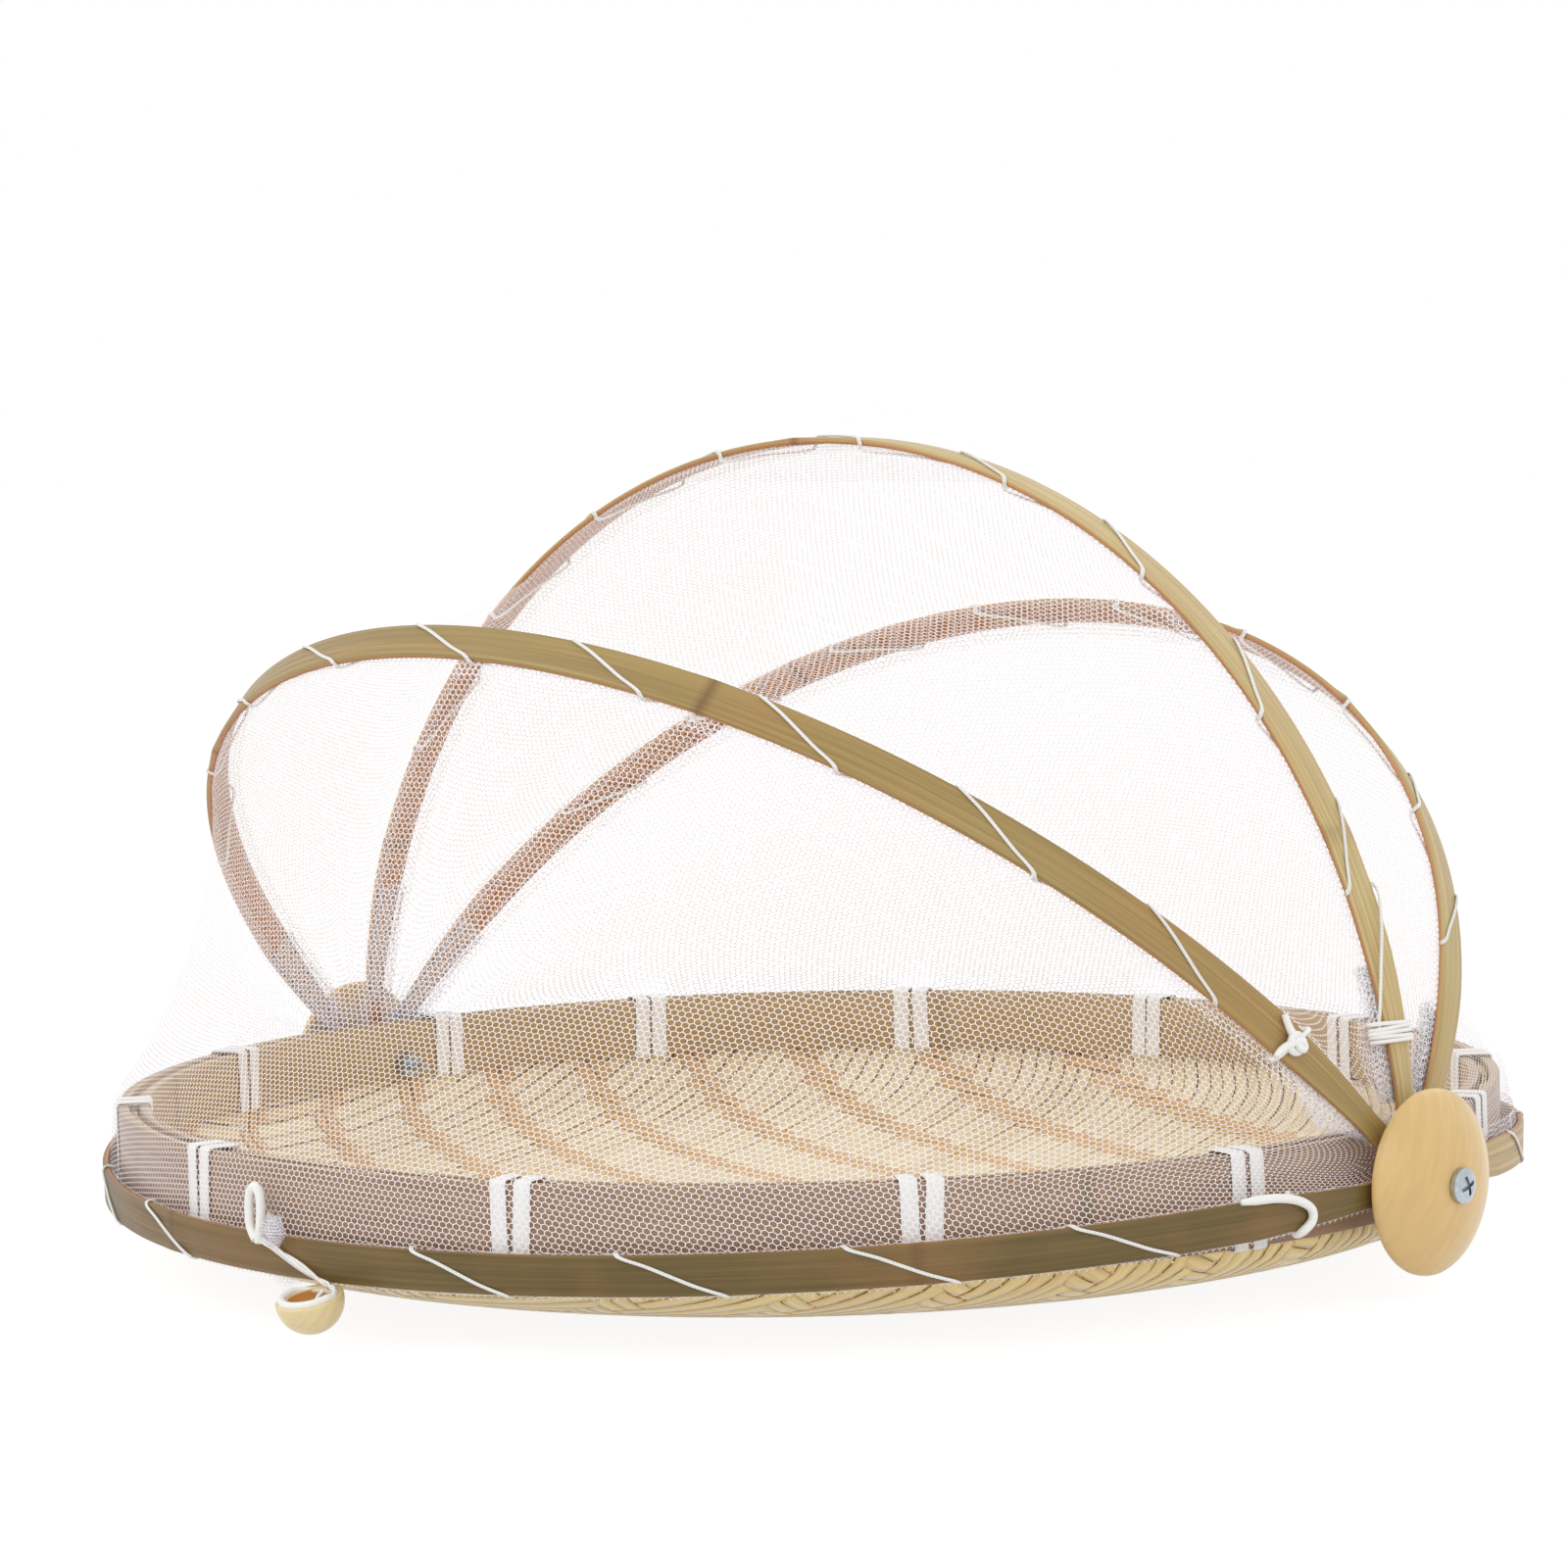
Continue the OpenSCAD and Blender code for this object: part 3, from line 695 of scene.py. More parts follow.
def thread_material(name, shade, twist):
    """Spun thread: fine slanted ridges from its twist, soft and matte."""
    material, tree, shader = new_material(name)
    uv = tree.add("UVMap").outputs["UV"]
    parts = tree.add("SeparateXYZ", {"Vector": uv})
    slant = tree.math("ADD", *(tree.math("MULTIPLY", parts.outputs[axis], twist) for axis in ("X", "Y")))
    ridges = tree.math("SINE", slant)
    fuzz = tree.noise(tree.vector("MULTIPLY", uv, (2500.0, 2500.0, 1.0)), 1.0, 2.0, 0.6)
    height = tree.math("ADD", tree.math("MULTIPLY", ridges, 0.5), fuzz)
    # Painted shade: the colour darkens in the twist's grooves and in the low spots of the fuzz, and on a thread without
    # twist in the fuzz's low spots only.
    shadowed = tree.spread(height, -0.2, 1.2) if twist else tree.spread(fuzz, 0.2, 0.6)
    tree.put(shader.inputs["Base Color"], tree.mix(shadowed, rgba(darker(shade, 0.82)), rgba(shade)))
    shader.inputs["Roughness"].default_value = 0.75
    shader.inputs["Sheen Weight"].default_value = 0.15
    bump(tree, shader, height, 0.5, 0.12 * MM)
    return material


def strap_material(name, shade):
    """Flat plastic strap with a slight grain."""
    material, tree, shader = new_material(name)
    uv = tree.add("UVMap").outputs["UV"]
    ribs = tree.noise(tree.vector("MULTIPLY", uv, (300.0, 2600.0, 1.0)), 1.0, 3.0, 0.6)
    tree.put(shader.inputs["Base Color"], tree.mix(tree.spread(ribs, 0.3, 0.7), rgba(darker(shade, 0.9)), rgba(shade)))
    tree.put(shader.inputs["Roughness"], tree.spread(ribs, 0.2, 0.8, 0.42, 0.6, "LINEAR"))
    bump(tree, shader, ribs, 0.35, 0.15 * MM)
    return material


def zinc_material(name, shade):
    """Zinc plated steel, bright with faint clouds."""
    material, tree, shader = new_material(name)
    place = tree.add("TexCoord").outputs["Object"]
    clouds = tree.spread(tree.noise(place, 900.0, 3.0, 0.6), 0.3, 0.7)
    tree.put(shader.inputs["Base Color"], tree.mix(clouds, rgba(darker(shade, 0.78)), rgba(shade)))
    tree.put(shader.inputs["Roughness"], tree.spread(clouds, 0.0, 1.0, 0.34, 0.22, "LINEAR"))
    shader.inputs["Metallic"].default_value = 1.0
    bump(tree, shader, clouds, 0.08, 0.1 * MM)
    return material


# ---- Bamboo: the five hoops and the rim ----


def corner_table(steps=2):
    """Rows of (side of a, side of b, cosine, sine) that walk round a box with round corners."""
    rows = []
    for k, (sa, sb) in ((1, (-1, 1)), (2, (-1, -1)), (3, (1, -1)), (0, (1, 1))):
        for i in range(steps + 1):
            turn = math.pi / 2 * (k + i / steps)
            rows.append((sa, sb, math.cos(turn), math.sin(turn)))
    rows.append(rows[0])
    return np.array(rows)


def knot_marks(run, spacing, first):
    """How near each place along a strip is to a growth ring, from 0 to 1."""
    from_ring = (run - first + spacing / 2) % spacing - spacing / 2
    return np.exp(-((from_ring / (1.1 * MM)) ** 2)), np.exp(-((from_ring / (5 * MM)) ** 2))


def strip_section(centre, outward, across, half_thick, half_width, corner, swell):
    """Rings of points of a bent strip, with its UV and which points lie on the skin."""
    table = corner_table()
    sa, sb, ca, sb_round = table.T
    off = sa * (half_thick[:, None] - corner) + corner * ca + swell[:, None] * (sa > 0)
    side = sb * (half_width[:, None] - corner) + corner * sb_round
    points = centre[:, None] + off[..., None] * outward[:, None] + side[..., None] * across
    run = travelled(centre)
    around = travelled(np.stack([off.mean(0), side.mean(0)], 1))
    uv = np.stack(np.broadcast_arrays(run[:, None], around[None]), -1)
    skin = np.broadcast_to(np.where(sa > 0, np.where(ca > 0.3, 1.0, 0.62), 0.0), off.shape)
    return points, uv, skin


def hoop_strip(shape, hoop, settings, seed):
    """One bent bamboo strip from pivot to pivot, with rounded eyes at its ends."""
    tail = np.linspace(-hoop.eye + 0.2 * MM, -0.5 * MM, 6)
    turns = np.linspace(0, 180, 241)
    middle = hoop.at(turns)
    normal = hoop.at(turns, 1.0) - hoop.at(turns)
    right = hoop.at(0.0) + tail[:, None] * hoop.out
    left = hoop.at(180.0) + tail[::-1, None] * hoop.out
    centre = np.vstack([right, middle, left])
    outward = np.vstack([np.repeat(normal[:1], 6, 0), normal, np.repeat(normal[-1:], 6, 0)])
    eye = np.sqrt(np.maximum(hoop.eye**2 - tail**2, (0.9 * MM) ** 2))
    eye = np.minimum(eye, hoop.tip / 2)
    width = np.concatenate([eye, hoop.half_width(turns), eye[::-1]])
    wander = np.array([noise.noise(Vector((p * 0.045, seed, 0.0))) for p in range(len(width))])
    width = width * (1 + 0.02 * wander)
    half_thick = np.full(len(width), hoop.thick / 2)
    run = travelled(centre)
    ring, swelling = knot_marks(run, settings.knot_spacing, (0.31 + 0.37 * seed) % 1 * settings.knot_spacing)
    points, uv, skin = strip_section(
        centre, outward, hoop.side, half_thick, width, settings.corner, swelling * 0.3 * MM
    )
    knot = np.broadcast_to(ring[:, None], skin.shape)
    shape.add_grid(points, uv, caps=True, skin=skin, knot=knot)


class TRAY_OT_hoops(bpy.types.Operator):
    """Bend the five bamboo hoops of the cover"""

    bl_idname = "tray.hoops"
    bl_label = "Cover hoops"

    def execute(self, context):
        settings = context.scene.tray_bamboo
        slots = {"front_low": "hoop_olive", "front_high": "hoop_tan", "top": "hoop_pale"}
        slots.update(back_high="hoop_pale", back_low="hoop_tan")
        for seed, name in enumerate(HOOPS):
            skin = getattr(settings, "skin_" + name)
            material = bamboo_material("hoop_" + name + "_bamboo", tuple(skin), tuple(settings.inner), seed + 1)
            shape = Shape()
            hoop_strip(shape, HOOP[name], settings, seed + 1)
            place(shape.make("strip_" + name, material), name, slots[name], "hoop_" + name)
        return {"FINISHED"}


def rim_ring(shape, radius, wall, seed, joint_at, bottom):
    """One bent strip of the rim, closed by a long scarf joint."""
    overlap = 16.0
    turns = np.linspace(joint_at, joint_at + 360 + overlap, 377)
    angle = np.radians(turns)
    outward = np.stack([np.cos(angle), np.sin(angle), 0 * angle], -1)
    share_in = np.clip((turns - joint_at) / overlap, 0.12, 1)
    share_out = np.clip((joint_at + 360 + overlap - turns) / overlap, 0.12, 1)
    thick = wall / 2 * np.minimum(share_in, share_out)
    shift = wall / 2 * ((1 - share_out) - (1 - share_in))
    wander = np.array([noise.noise(Vector((math.cos(a) * 2, math.sin(a) * 2, seed))) for a in angle])
    place_r = radius + shift
    middle_z = (RIM_TOP + bottom) / 2
    centre = outward * place_r[:, None] + np.array([0, 0, middle_z]) + wander[:, None] * [0, 0, 0.25 * MM]
    run = radius * angle
    ring, _ = knot_marks(run, 0.31, 0.07 * seed)
    half_height = np.full(len(turns), (RIM_TOP - bottom) / 2 - 0.3 * MM)
    points, uv, skin = strip_section(centre, outward, UP, thick - 0.05 * MM, half_height, 0.35 * MM, 0 * run)
    shape.add_grid(points, uv, caps=True, skin=skin, knot=np.broadcast_to(ring[:, None] * 0.8, skin.shape))


class TRAY_OT_rim(bpy.types.Operator):
    """Bend the two rim strips and bind them with pairs of flat straps"""

    bl_idname = "tray.rim"
    bl_label = "Rim and straps"

    pairs = (22, 47, 73.5, 98.5, 123, 149, 170.5, 198, 230, 257.5, 290.5, 321.5, 348)
    width, split, play = 4.8 * MM, 1.3 * MM, 0.2 * MM

    def execute(self, context):
        bamboo = context.scene.tray_bamboo
        material = bamboo_material("rim_bamboo_strip", tuple(bamboo.rim), tuple(bamboo.rim_inner), 9, 0.2)
        outer, inner = Shape(), Shape()
        rim_ring(outer, RIM_RADIUS - RIM_WALL / 2, RIM_WALL, 3, 128, RIM_BOTTOM)
        rim_ring(inner, INNER_RADIUS - RIM_WALL / 2, INNER_RADIUS - CLEAR_RADIUS, 5, 236, INNER_BOTTOM)
        place(outer.make("rim_outer_strip", material), "tray", "rim_bamboo", "rim_outer_hoop")
        place(inner.make("rim_inner_strip", material), "tray", "rim_bamboo", "rim_inner_hoop")
        straps = Shape()
        draw = random.Random(4)
        half_turn = math.degrees((self.width + self.split) / 2 / RIM_RADIUS)
        for angle in self.pairs:
            for side in (-1, 1):
                self.strap(straps, angle + side * half_turn, draw)
        plastic = strap_material("strap_plastic", tuple(context.scene.tray_thread.strap))
        place(straps.make("straps", plastic), "tray", "strap_white", "rim_straps")
        return {"FINISHED"}

    def strap(self, shape, angle, draw):
        """One strap: over the rim, down both faces and through the weave between its two strips."""
        thick = STRAP_THICK
        lift = self.play + thick / 2
        low, inner_low, high = RIM_BOTTOM - lift * 0.4, INNER_BOTTOM - lift, RIM_TOP + lift
        outside, inside, middle = RIM_RADIUS + lift, CLEAR_RADIUS - lift, INNER_RADIUS + 1.1 * MM
        corner = 0.9 * MM
        path = []
        corners = (
            (outside, high, 0, 1, 1),
            (inside, high, 1, 2, 1),
            (inside, inner_low, 2, 3, 1),
            (middle, inner_low, 3, 2, -1),
            (middle, low, 2, 3, 1),
            (outside, low, 3, 4, 1),
        )
        for r, z, first, last, way in corners:
            halfway = math.pi / 4 * (first + last)
            a, b = math.copysign(way, math.cos(halfway) * way), math.copysign(way, math.sin(halfway) * way)
            for i in range(5):
                turn = math.pi / 2 * (first + (last - first) * i / 4)
                path.append(
                    (
                        r - a * corner + way * corner * math.cos(turn),
                        z - b * corner + way * corner * math.sin(turn),
                        turn,
                    )
                )
        path = np.array(path)
        fill = []
        for (r0, z0, n0), (r1, z1, _) in zip(path, np.roll(path, -1, 0)):
            fill.append((r0, z0, n0))
            if math.hypot(r1 - r0, z1 - z0) > 4 * MM:
                for s in (0.25, 0.5, 0.75):
                    fill.append((r0 + (r1 - r0) * s, z0 + (z1 - z0) * s, n0))
        path = np.array(fill)
        section = rounded_box(thick / 2, self.width / 2 * draw.uniform(0.94, 1.03), 0.16 * MM, 1)
        lean = draw.uniform(-0.35, 0.35)
        bulge = draw.uniform(0.0, 0.12) * MM
        height = (path[:, 1] - RIM_BOTTOM) / (RIM_TOP - RIM_BOTTOM)
        phi = np.radians(angle + lean * (height - 0.5) + draw.uniform(-0.15, 0.15))
        radial = np.stack([np.cos(phi), np.sin(phi), 0 * phi], -1)
        tangent = np.stack([-np.sin(phi), np.cos(phi), 0 * phi], -1)
        normal = np.cos(path[:, 2:]) * radial + np.sin(path[:, 2:]) * UP
        swell = bulge * np.sin(np.clip(height, 0, 1) * math.pi)
        centre = radial * path[:, :1] + UP * path[:, 1:2] + normal * swell[:, None]
        points = (
            centre[:, None]
            + section[None, :, :1] * normal[:, None]
            + section[None, :, 1:] * tangent[:, None]
        )
        run = travelled(centre)
        uv = np.stack(np.broadcast_arrays(run[:, None] + angle * MM, section[None, :, 1]), -1)
        shape.add_grid(points, uv, round_rows=True, round_columns=True)


# ---- The woven base ----


class TRAY_OT_weave(bpy.types.Operator):
    """Weave the dished base from two crossing sets of bamboo strips"""

    bl_idname = "tray.weave"
    bl_label = "Woven base"

    angle = 100.0
    repeat, dips = 8, 2

    def execute(self, context):
        settings = context.scene.tray_weave
        self.table = self.meridian(0.95 * MM)
        self.limit = self.table[-1][0]
        shape = Shape()
        draw = random.Random(11)
        kinds = (
            (settings.pitch, settings.strip_width, settings.cross_pitch, 0.3),
            (settings.cross_pitch, settings.cross_width, settings.pitch, 0.37),
        )
        for family, (pitch, width, step, flat) in enumerate(kinds):
            count = int(self.limit / pitch) + 1
            for i in range(-count, count + 1):
                self.strip(shape, settings, family, i, (pitch, width, step, flat), draw)
        shades = tuple(settings.straw), tuple(settings.crossing), tuple(settings.golden)
        material = straw_material("woven_straw", *shades)
        place(shape.make("base_weave", material), "tray", "woven_straw", "woven_base")
        return {"FINISHED"}

    def meridian(self, lift):
        """Distance over the dish, radius, height and the normal's parts, from middle to edge."""
        wall = BASE_RADIUS - 1.1 * MM
        rows = [(0.0, lift), (FOOT_RADIUS / 2, lift)]
        for i in range(41):
            a = math.pi / 2 * i / 40
            rows.append(
                (FOOT_RADIUS + (wall - FOOT_RADIUS) * math.sin(a), lift + (RIM_BOTTOM - lift) * (1 - math.cos(a)))
            )
        for i in range(1, 9):
            rows.append((wall, RIM_BOTTOM + (BASE_EDGE - RIM_BOTTOM) * i / 8))
        rows = np.array(rows)
        steps = np.diff(rows, axis=0)
        run = np.concatenate([[0], np.cumsum(np.hypot(*steps.T))])
        ahead = np.gradient(rows, run, axis=0)
        ahead /= np.linalg.norm(ahead, axis=1, keepdims=True)
        return np.column_stack([run, rows, -ahead[:, 1], ahead[:, 0]])

    def on_dish(self, flat, lift):
        """Places on the dish of points of the flat weave, lifted along the dish's normal."""
        rho, phi = np.hypot(flat[..., 0], flat[..., 1]), np.arctan2(flat[..., 1], flat[..., 0])
        radius, height, n_r, n_z = (np.interp(rho, self.table[:, 0], self.table[:, k]) for k in (1, 2, 3, 4))
        radius = radius + lift * n_r
        return np.stack([radius * np.cos(phi), radius * np.sin(phi), height + lift * n_z], -1)

    def dips_under(self, long_one, crossing):
        """Whether a long strip passes under a crossing one: a step further along at every pair."""
        return (crossing - long_one // 2) % self.repeat < self.dips

    def strip(self, shape, settings, family, i, measures, draw):
        """One strip: its pitch, width, the step between its crossings and its flat share of one."""
        pitch, width, step, flat_part = measures
        width = width * draw.uniform(0.93, 1.05)
        offset = i * pitch + draw.uniform(-0.12, 0.12) * MM
        tone, ragged = draw.random(), draw.uniform(-1.2, 0.4) * MM
        bow, phase = draw.uniform(-0.18, 0.18) * MM, draw.uniform(0, TAU)
        reach = self.limit**2 - offset**2
        if reach < (1.5 * step) ** 2:
            return
        reach = math.sqrt(reach) + ragged
        stations, lifts = [], []
        for j in range(-int(reach / step) - 1, int(reach / step) + 2):
            above = self.dips_under(j, i) if family else not self.dips_under(i, j)
            for part in (-flat_part, flat_part):
                stations.append((j + part) * step)
                lifts.append(settings.wave if above else -settings.wave)
        stations, lifts = np.array(stations), np.array(lifts)
        ends = np.array([-reach, reach])
        end_lifts = np.interp(ends, stations, lifts)
        inside = np.abs(stations) < reach - 0.2 * MM
        stations = np.concatenate([ends[:1], stations[inside], ends[1:]])
        lifts = np.concatenate([end_lifts[:1], lifts[inside], end_lifts[1:]])
        half, thick = width / 2, settings.strip_thick
        section = np.array(
            [
                (-half, 0.3), (-0.5 * half, 0.46), (0, 0.5), (0.5 * half, 0.46),
                (half, 0.3), (half, -0.3), (0, -0.5), (-half, -0.3),
            ]
        )
        section[:, 1] *= thick
        across = offset + bow * np.sin(stations / 0.05 + phase)
        turn = math.radians(self.angle)
        along_a, across_a = np.array([math.cos(turn), math.sin(turn)]), np.array([-math.sin(turn), math.cos(turn)])
        s = np.broadcast_to(stations[:, None], (len(stations), len(section)))
        o = across[:, None] + section[None, :, 0]
        if family:
            s, o = o, s
        flat = s[..., None] * along_a + o[..., None] * across_a
        points = self.on_dish(flat, lifts[:, None] + section[None, :, 1])
        uv = np.stack(np.broadcast_arrays(stations[:, None], section[None, :, 0]), -1)
        under = np.broadcast_to(np.array([0, 0, 0, 0, 0, 1, 1, 1.0]), points.shape[:2])
        marks = {"tone": np.full(points.shape[:2], tone), "across": np.full(points.shape[:2], family), "under": under}
        shape.add_grid(points, uv, round_columns=True, caps=True, **marks)


# ---- Net ----


class Panel:
    """A net panel between two hoops: columns of points from the lower hoop to the higher one."""

    free_rows, on_rows = 28, 2
    first, last = 3.5, 176.5
    sags = {"front_low": 1.05, "front_high": 1.05, "back_high": 0.8, "back_low": 1.35}

    def __init__(self, name):
        self.name = name
        self.low, self.high = (HOOP[n] for n in PANELS[name])
        self.fold = {"front_low": -1, "back_low": 1}.get(name, 0)
        self.turns = np.linspace(self.first, self.last, 181)

    def over_rim(self, anchor):
        """Where the net bends over the rim's edge, in plan in line with a hoop's point."""
        reach = RIM_RADIUS + 1.45 * MM
        scale = reach / np.hypot(anchor[:, 0], anchor[:, 1])
        return np.column_stack([anchor[:, 0] * scale, anchor[:, 1] * scale, np.full(len(anchor), RIM_TOP + 1.3 * MM)])

    def build(self, sag):
        t = self.turns
        on_low, on_high = (
            [hoop.at(t, -hoop.thick / 2 - 0.4 * MM, hoop.half_width(t) * s) for s in shares]
            for hoop, shares in ((self.low, (0.6, 1.0)), (self.high, (-1.0, -0.6)))
        )
        start, end = on_low[-1], on_high[0]
        free = self.span(start, end, sag * self.sags[self.name])
        rows = on_low + free + on_high
        points = np.stack(rows, 1)
        weight = self.weights(points)
        return points, self.flat_uv(points), weight

    def span(self, start, end, sag):
        """The free part between the hoops: straight, hollowed a little, pleated near the pivots."""
        share = np.linspace(0, 1, self.free_rows + 2)[1:-1]
        if self.fold:
            edge = self.over_rim(start if self.fold < 0 else end)
            first = np.linalg.norm(edge - start, axis=1)
            total = first + np.linalg.norm(end - edge, axis=1)
            knee = (first / total)[:, None]
            s = share[None]
            knee_rows = np.clip(knee, 0.05, 0.95)
            before = np.clip(s / knee_rows, 0, 1)[..., None]
            after = np.clip((s - knee_rows) / (1 - knee_rows), 0, 1)[..., None]
            points = start[:, None] * (1 - before) + edge[:, None] * before
            points = points + (end - edge)[:, None] * after
            hollow = np.where(
                s < knee_rows if self.fold < 0 else s > knee_rows,
                0,
                4 * after[..., 0] * (1 - after[..., 0]) if self.fold < 0 else 4 * before[..., 0] * (1 - before[..., 0]),
            )
        else:
            points = start[:, None] * (1 - share[None, :, None]) + end[:, None] * share[None, :, None]
            hollow = np.broadcast_to(4 * share * (1 - share), points.shape[:2])
        middle = (start + end) / 2 - np.array([0, PIVOT.y, PIVOT.z])
        outward = middle / np.linalg.norm(middle, axis=1, keepdims=True)
        span = np.linalg.norm(end - start, axis=1)
        near_pivot = np.exp(-((self.turns - self.first) / 9) ** 2) + np.exp(-((self.last - self.turns) / 9) ** 2)
        pleats = np.sin(share[None] * TAU * 4.5 + 0.7 * np.sin(self.turns[:, None] * 0.25)) * near_pivot[:, None]
        ripple = np.array(
            [[noise.noise(Vector((t * 0.09, s * 2.2, len(self.name)))) for s in share] for t in self.turns]
        )
        depth = -sag * span[:, None] * hollow + 1.6 * MM * pleats * np.sqrt(hollow) + 0.9 * MM * ripple * hollow
        points = points + depth[..., None] * outward[:, None]
        return [points[:, k] for k in range(points.shape[1])]

    def weights(self, points):
        """Share of the fold's turn that each point takes: none on the low hoop, all on the high one."""
        angle = np.arctan2(points[..., 2] - PIVOT.z, PIVOT.y - points[..., 1])
        angle = np.where(angle < -1.0, angle + TAU, angle)
        first, last = angle[:, self.on_rows - 1 : self.on_rows], angle[:, -self.on_rows : -self.on_rows + 1]
        share = np.clip((angle - first) / (last - first), 0, 1)
        share[:, : self.on_rows] = 0
        share[:, -self.on_rows :] = 1
        return share

    def flat_uv(self, points):
        """Where each point lies on the flat cloth, in metres; the cloth is gathered near the pivots."""
        run = along_rows(points, self.turns)
        steps = np.linalg.norm(np.diff(points, axis=1), axis=2)
        up = np.concatenate([np.zeros((len(points), 1)), np.cumsum(steps, axis=1)], axis=1)
        up = up - up[:, points.shape[1] // 2 :][:, :1]
        ends = np.exp(-((self.turns - self.first) / 12) ** 2) + np.exp(-((self.last - self.turns) / 12) ** 2)
        flatten = bpy.context.scene.tray_net.flatten
        return np.stack([run, up * flatten * (1 + 1.3 * ends[:, None])], -1)


def along_rows(points, turns):
    """Distance along each row of points, counted from the hoop's middle at 90 degrees."""
    steps = np.linalg.norm(np.diff(points, axis=0), axis=2)
    run = np.concatenate([np.zeros((1, points.shape[1])), np.cumsum(steps, axis=0)], axis=0)
    return run - run[np.abs(turns - 90).argmin()]


def bend_with(piece, low, high):
    """Bakes the piece's place into its mesh; the piece does not bend with the hoops."""
    low.at(90.0)
    high.at(90.0)
    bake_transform(piece)


class TRAY_OT_net(bpy.types.Operator):
    """Stretch the four net panels between the hoops and hem them"""

    bl_idname = "tray.net"
    bl_label = "Net cover"

    # Estimated width and length of each panel's cut, and the area that the built cloth measures
    cuts = {
        "front_low": (0.20, 0.60, 0.065),
        "front_high": (0.18, 0.58, 0.061),
        "back_high": (0.13, 0.54, 0.045),
        "back_low": (0.17, 0.54, 0.060),
    }

    def execute(self, context):
        settings = context.scene.tray_net
        material = tulle_material("net_tulle", tuple(settings.net), settings.mesh, settings.yarn)
        panels = {name: Panel(name) for name in PANELS}
        built = {name: panel.build(settings.sag) for name, panel in panels.items()}
        for hoop in HOOPS:
            self.hem(hoop, panels, built, material)
        for name, panel in panels.items():
            points, uv, weight = built[name]
            shape = Shape()
            shape.add_grid(points, uv)
            piece = shape.make("panel_" + name, material)
            bend_with(piece, panel.low, panel.high)
            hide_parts("net_" + name)
        return {"FINISHED"}

    # Bunched cloth near the right-hand pivot: from and to (degrees), reach below and above, layers
    bunches = {
        "front_low": (6.5, 15.0, 0.5, 0.5, 1),
        "front_high": (6.0, 17.0, 6.0, 2.0, 3),
        "top": (6.0, 17.0, 5.5, 12.0, 5),
        "back_high": (4.5, 17.0, 3.0, 14.0, 6),
        "back_low": (5.0, 15.0, 7.0, 1.0, 4),
    }

    # Where a bunched layer starts to thin out, how much later each further one does, over what share
    # of its length, and how fast all of them thicken at their far ends
    thin_from, thin_step, thin_over, thicken = 0.15, 0.05, 0.6, 10

    def hem(self, name, panels, built, material):
        """The edge of the cloth behind a hoop, turned out a little past it and bunched at the pivots."""
        hoop = HOOP[name]
        t = np.linspace(4.5, 175.5, 181)
        shape = Shape()
        self.hem_layer(shape, hoop, panels, built, t, 0.15 * MM, (4.0 * MM, 4.0 * MM), 0)
        first, last, below, above, layers = self.bunches[name]
        for layer in range(1, layers + 1):
            deep = (0.5 + 0.7 * layer) * MM
            part = np.linspace(first, last, 25)
            self.hem_layer(shape, hoop, panels, built, part, deep, (below * MM, above * MM), layer)
            part = np.linspace(180 - last, 180 - first, 25)
            if layer < 3:
                self.hem_layer(shape, hoop, panels, built, part, deep, (1.5 * MM, 1.5 * MM), layer)
        piece = shape.make("hem_" + name, material)
        return place(piece, name, "net_white")

    def hem_layer(self, shape, hoop, panels, built, t, depth, reaches, layer):
        """One layer of the hem over the strip's inner face and past its edges."""
        w = hoop.half_width(t)
        below = above = None
        for key, panel in panels.items():
            points = built[key][0]
            if panel.high is hoop:
                below = self.lean(points, panel, -panel.on_rows, -panel.on_rows - 3, t)
            if panel.low is hoop:
                above = self.lean(points, panel, panel.on_rows - 1, panel.on_rows + 2, t)
        ragged = np.array([noise.noise(Vector((a * (0.8 + layer), layer * 5.0, len(hoop.name)))) for a in t])
        bunch = 1.0
        if layer:
            share = (np.abs(90 - t).max() - np.abs(90 - t)) / np.ptp(t)
            fade = np.clip((share - self.thin_from - self.thin_step * layer) / self.thin_over, 0, 1)
            bunch = np.minimum(1, share * self.thicken) * (0.5 + 0.5 * np.cos(math.pi * fade))
        edges = [((reach + 0.8 * MM * ragged) * bunch)[:, None] for reach in reaches]
        outer = (1.2 * MM + 0.5 * MM * ragged)[:, None]
        down, low_edge = (-hoop.side, outer) if below is None else (below, edges[0])
        up, high_edge = (hoop.side, outer) if above is None else (above, edges[1])
        if hoop.name == "front_low":
            high_edge = high_edge * 0.08
        if layer:
            depth = depth + 1.1 * MM * ragged
        rows = [hoop.at(t, -hoop.thick / 2 - depth, w * s) for s in (-1, -0.5, 0, 0.5, 1)]
        rows = [rows[0] + down * low_edge * s for s in (1, 0.5)] + rows
        rows = rows + [rows[-1] + up * high_edge * s for s in (0.5, 1)]
        points = np.stack(rows, 1)
        if layer:
            wave = np.sin(np.arange(9)[None] * 2.1 + layer * 1.3 + t[:, None] * 0.4)
            points = points + (0.7 * MM * wave)[..., None] * (hoop.at(t) - np.array(PIVOT))[:, None] / hoop.reach
        across = np.cumsum(np.linalg.norm(np.diff(points, axis=1), axis=2), axis=1)
        across = np.concatenate([np.zeros((len(t), 1)), across], axis=1)
        run = along_rows(points, t)
        flatten = bpy.context.scene.tray_net.flatten
        shift = 0.63 * MM * layer
        shape.add_grid(points, np.stack([run * (1 + 0.2 * layer) + shift, across * flatten + shift], -1))

    def lean(self, points, panel, at, towards, t):
        """The direction in which a panel leaves a hoop, at the hem's own places."""
        way = points[:, towards] - points[:, at]
        way = way / (np.linalg.norm(way, axis=1, keepdims=True) + 1e-9)
        return np.stack([np.interp(t, panel.turns, way[:, k]) for k in range(3)], -1)


# ---- Thread ----


LACE_MIDDLE, LACE_STEP, LACE_LEAN = 89.5, 15.75, 3.4


